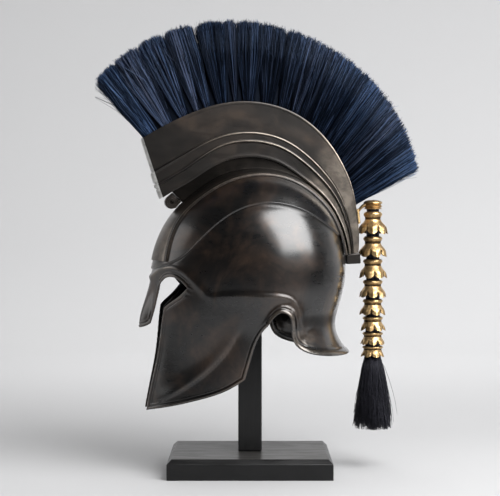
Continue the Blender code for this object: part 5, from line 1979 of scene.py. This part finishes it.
@dataclass
class Studio:
    """Pale floor that curves up into a backdrop all round, soft lights and the camera."""

    distance: float = 1.830
    eye_height: float = 0.324
    lens: float = 101.4
    sensor: float = 36.0
    tilt: float = 1.1
    flat_radius: float = 1.6
    sweep_radius: float = 1.6
    wall_top: float = 4.0
    hub_radius: float = 0.01
    far_arc: Pair = (-4.0, 184.0)
    air: Colour = (0.95, 0.97, 1.0)
    air_strength: float = 0.042
    softboxes: tuple[Softbox, ...] = (
        Softbox("key_softbox", (0.98, -0.95, 1.36), (1.45, 1.65), 60.0),
        Softbox("key_sheen", (1.01, -0.98, 1.393), (1.50, 1.70), 29.0, Role.MIRROR),
        Softbox("left_softbox", (-2.2, 0.1, 0.9), (1.2, 1.6), 8.4, Role.MIRROR),
        Softbox("right_softbox", (1.9, 0.7, 0.90), (1.3, 1.3), 2.0, Role.MIRROR),
        Softbox("top_softbox", (0.2, 0.35, 2.6), (2.6, 2.6), 40.0, Role.WASH),
        Softbox("far_side_softbox", (-0.9, 1.5, 1.3), (1.3, 1.3), 3.0),
        Softbox("far_wall_softbox", (0.7, 1.1, 1.5), (3.0, 0.8), 46.0, Role.WASH, (0.7, 3.2, 0.45)),
        Softbox("near_wall_softbox", (0.0, -1.2, 2.6), (3.0, 0.8), 37.0, Role.WASH, (0.0, -3.2, 0.6)),
    )

    @staticmethod
    def _sheet(
        name: str, finish: Material, arc: Pair, reach: Floats, height: Floats
    ) -> Object:
        """Makes a stretch of floor or backdrop.

        Args:
            name: The sheet's name.
            finish: Its paper.
            arc: Where it begins and ends, in degrees from +X towards +Y.
            reach: Distances of its rows from the middle.
            height: Heights of its rows.

        Returns:
            The sheet.
        """
        maker = MeshMaker()
        maker.grid(turned(reach, height, np.radians(np.linspace(*arc, 73))))
        sheet = bpy.data.objects.new(name, maker.mesh(name, smooth_angle=60.0))
        sheet.data.materials.append(finish)
        bpy.context.scene.collection.objects.link(sheet)
        return sheet

    def _backdrop(self, finish: Material) -> None:
        """Makes the floor and the backdrop; the near half of the backdrop isn't mirrored in the metal."""
        swing = np.linspace(0.0, pi / 2, 24)
        wall_reach = self.flat_radius + self.sweep_radius * np.r_[np.sin(swing), 1.0]
        wall_height = np.r_[self.sweep_radius * (1 - np.cos(swing)), self.wall_top]
        floor_reach = np.array([self.hub_radius, self.flat_radius])
        first, last = self.far_arc
        near_arc = (last, first + 360.0)
        whole_reach = np.r_[self.hub_radius, wall_reach]
        self._sheet("studio_floor", finish, self.far_arc, whole_reach, np.r_[0.0, wall_height])
        near = self._sheet("studio_near_backdrop", finish, near_arc, wall_reach, wall_height)
        near.visible_glossy = False
        near.visible_diffuse = False
        self._sheet("studio_near_floor", finish, near_arc, floor_reach, np.zeros(2))

    @staticmethod
    def _light(box: Softbox) -> None:
        """Adds a soft rectangular light that the camera doesn't see."""
        data = bpy.data.lights.new(box.name, "AREA")
        data.shape = "RECTANGLE"
        data.size, data.size_y = box.size
        data.energy = box.watts
        light = bpy.data.objects.new(box.name, data)
        light.location = box.place
        light.rotation_euler = (Vector(box.aim) - Vector(box.place)).to_track_quat("-Z", "Y").to_euler()
        light.visible_camera = False
        light.visible_glossy = box.role is not Role.WASH
        light.visible_diffuse = box.role is not Role.MIRROR
        bpy.context.scene.collection.objects.link(light)

    def build(self, finish: Material) -> None:
        """Sets the floor, the lights, the world and the camera.

        Args:
            finish: The floor's paper.
        """
        self._backdrop(finish)
        for box in self.softboxes:
            self._light(box)
        world = bpy.data.worlds.new("studio_air")
        world.use_nodes = True
        background = world.node_tree.nodes["Background"]
        background.inputs["Color"].default_value = (*self.air, 1.0)
        background.inputs["Strength"].default_value = self.air_strength
        bpy.context.scene.world = world
        bpy.context.scene.view_settings.view_transform = "Standard"

        data = bpy.data.cameras.new("camera")
        data.sensor_width = self.sensor
        data.lens = self.lens
        data.clip_start, data.clip_end = 0.05, 60.0
        camera = bpy.data.objects.new("camera", data)
        camera.location = (0.0, -self.distance, self.eye_height)
        camera.rotation_euler = (radians(90.0 - self.tilt), 0.0, 0.0)
        bpy.context.scene.collection.objects.link(camera)
        bpy.context.scene.camera = camera


def corners(bounds: tuple[Vector, Vector]) -> list[list[float]]:
    """Turns a box's two corners into plain lists."""
    return [list(map(float, corner)) for corner in bounds]


def main() -> None:
    """Builds every piece in order."""
    logging.basicConfig(level=logging.INFO, format="%(name)s %(message)s")
    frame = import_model()
    log.info("solids: %d", len(frame["nodes"]))
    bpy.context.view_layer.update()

    bronze = PatinatedBronze("dark_bronze_finish").material()
    crest_bronze = PatinatedBronze(
        "dark_bronze_crest", black=(0.0205, 0.0180, 0.0163), brown=(0.052, 0.037, 0.0275),
        rubbed_and_sheen=(0.42, 0.36, 0.30), roughness=0.34, rubbing=0.8, metal=0.85, wax=0.30, wax_roughness=0.30,
    ).material()
    bright = RubbedMetal("worn_bronze_finish").material()
    gilding = AgedGilding("gilt_brass_finish").material()
    navy = Horsehair(
        "navy_horsehair_finish", dark=(0.0007, 0.0012, 0.0030), light=(0.076, 0.134, 0.270),
        faded=(0.120, 0.140, 0.215), glint=(0.50, 0.66, 1.0),
    ).material()
    black = Horsehair(
        "black_horsehair_finish", dark=(0.0018, 0.0018, 0.0026), light=(0.040, 0.040, 0.052),
        faded=(0.040, 0.040, 0.052),
    ).material()
    base_paint = BlackPaint("black_paint_base").material()
    post_paint = BlackPaint("black_paint_post", roughness=0.44, grain=(1.0, 1.0, 0.12)).material()

    form = SkullForm()
    curve = CrestCurve(form)
    bench = Bench()
    rng = np.random.default_rng(HAIR_SEED)
    shell = HelmetShell(form)
    shell.build(bench, bronze)
    CrestSeat(curve, cap_rise=shell.cap_rise).build(bench, crest_bronze)
    holder = CrestHolder(curve)
    holder.build(bench, crest_bronze, bright)
    plume = Plume(curve)
    holder.build_lid(bench, crest_bronze, plume.back - 0.25, curve.rows[-1].bearing + 0.2)
    plume.build(bench, navy, rng)
    Tail(curve).build(bench, gilding, black, rng)
    Stand().build(bench, base_paint, post_paint)
    Studio().build(StudioPaper("studio_paper").material())


if __name__ == "__main__":
    main()
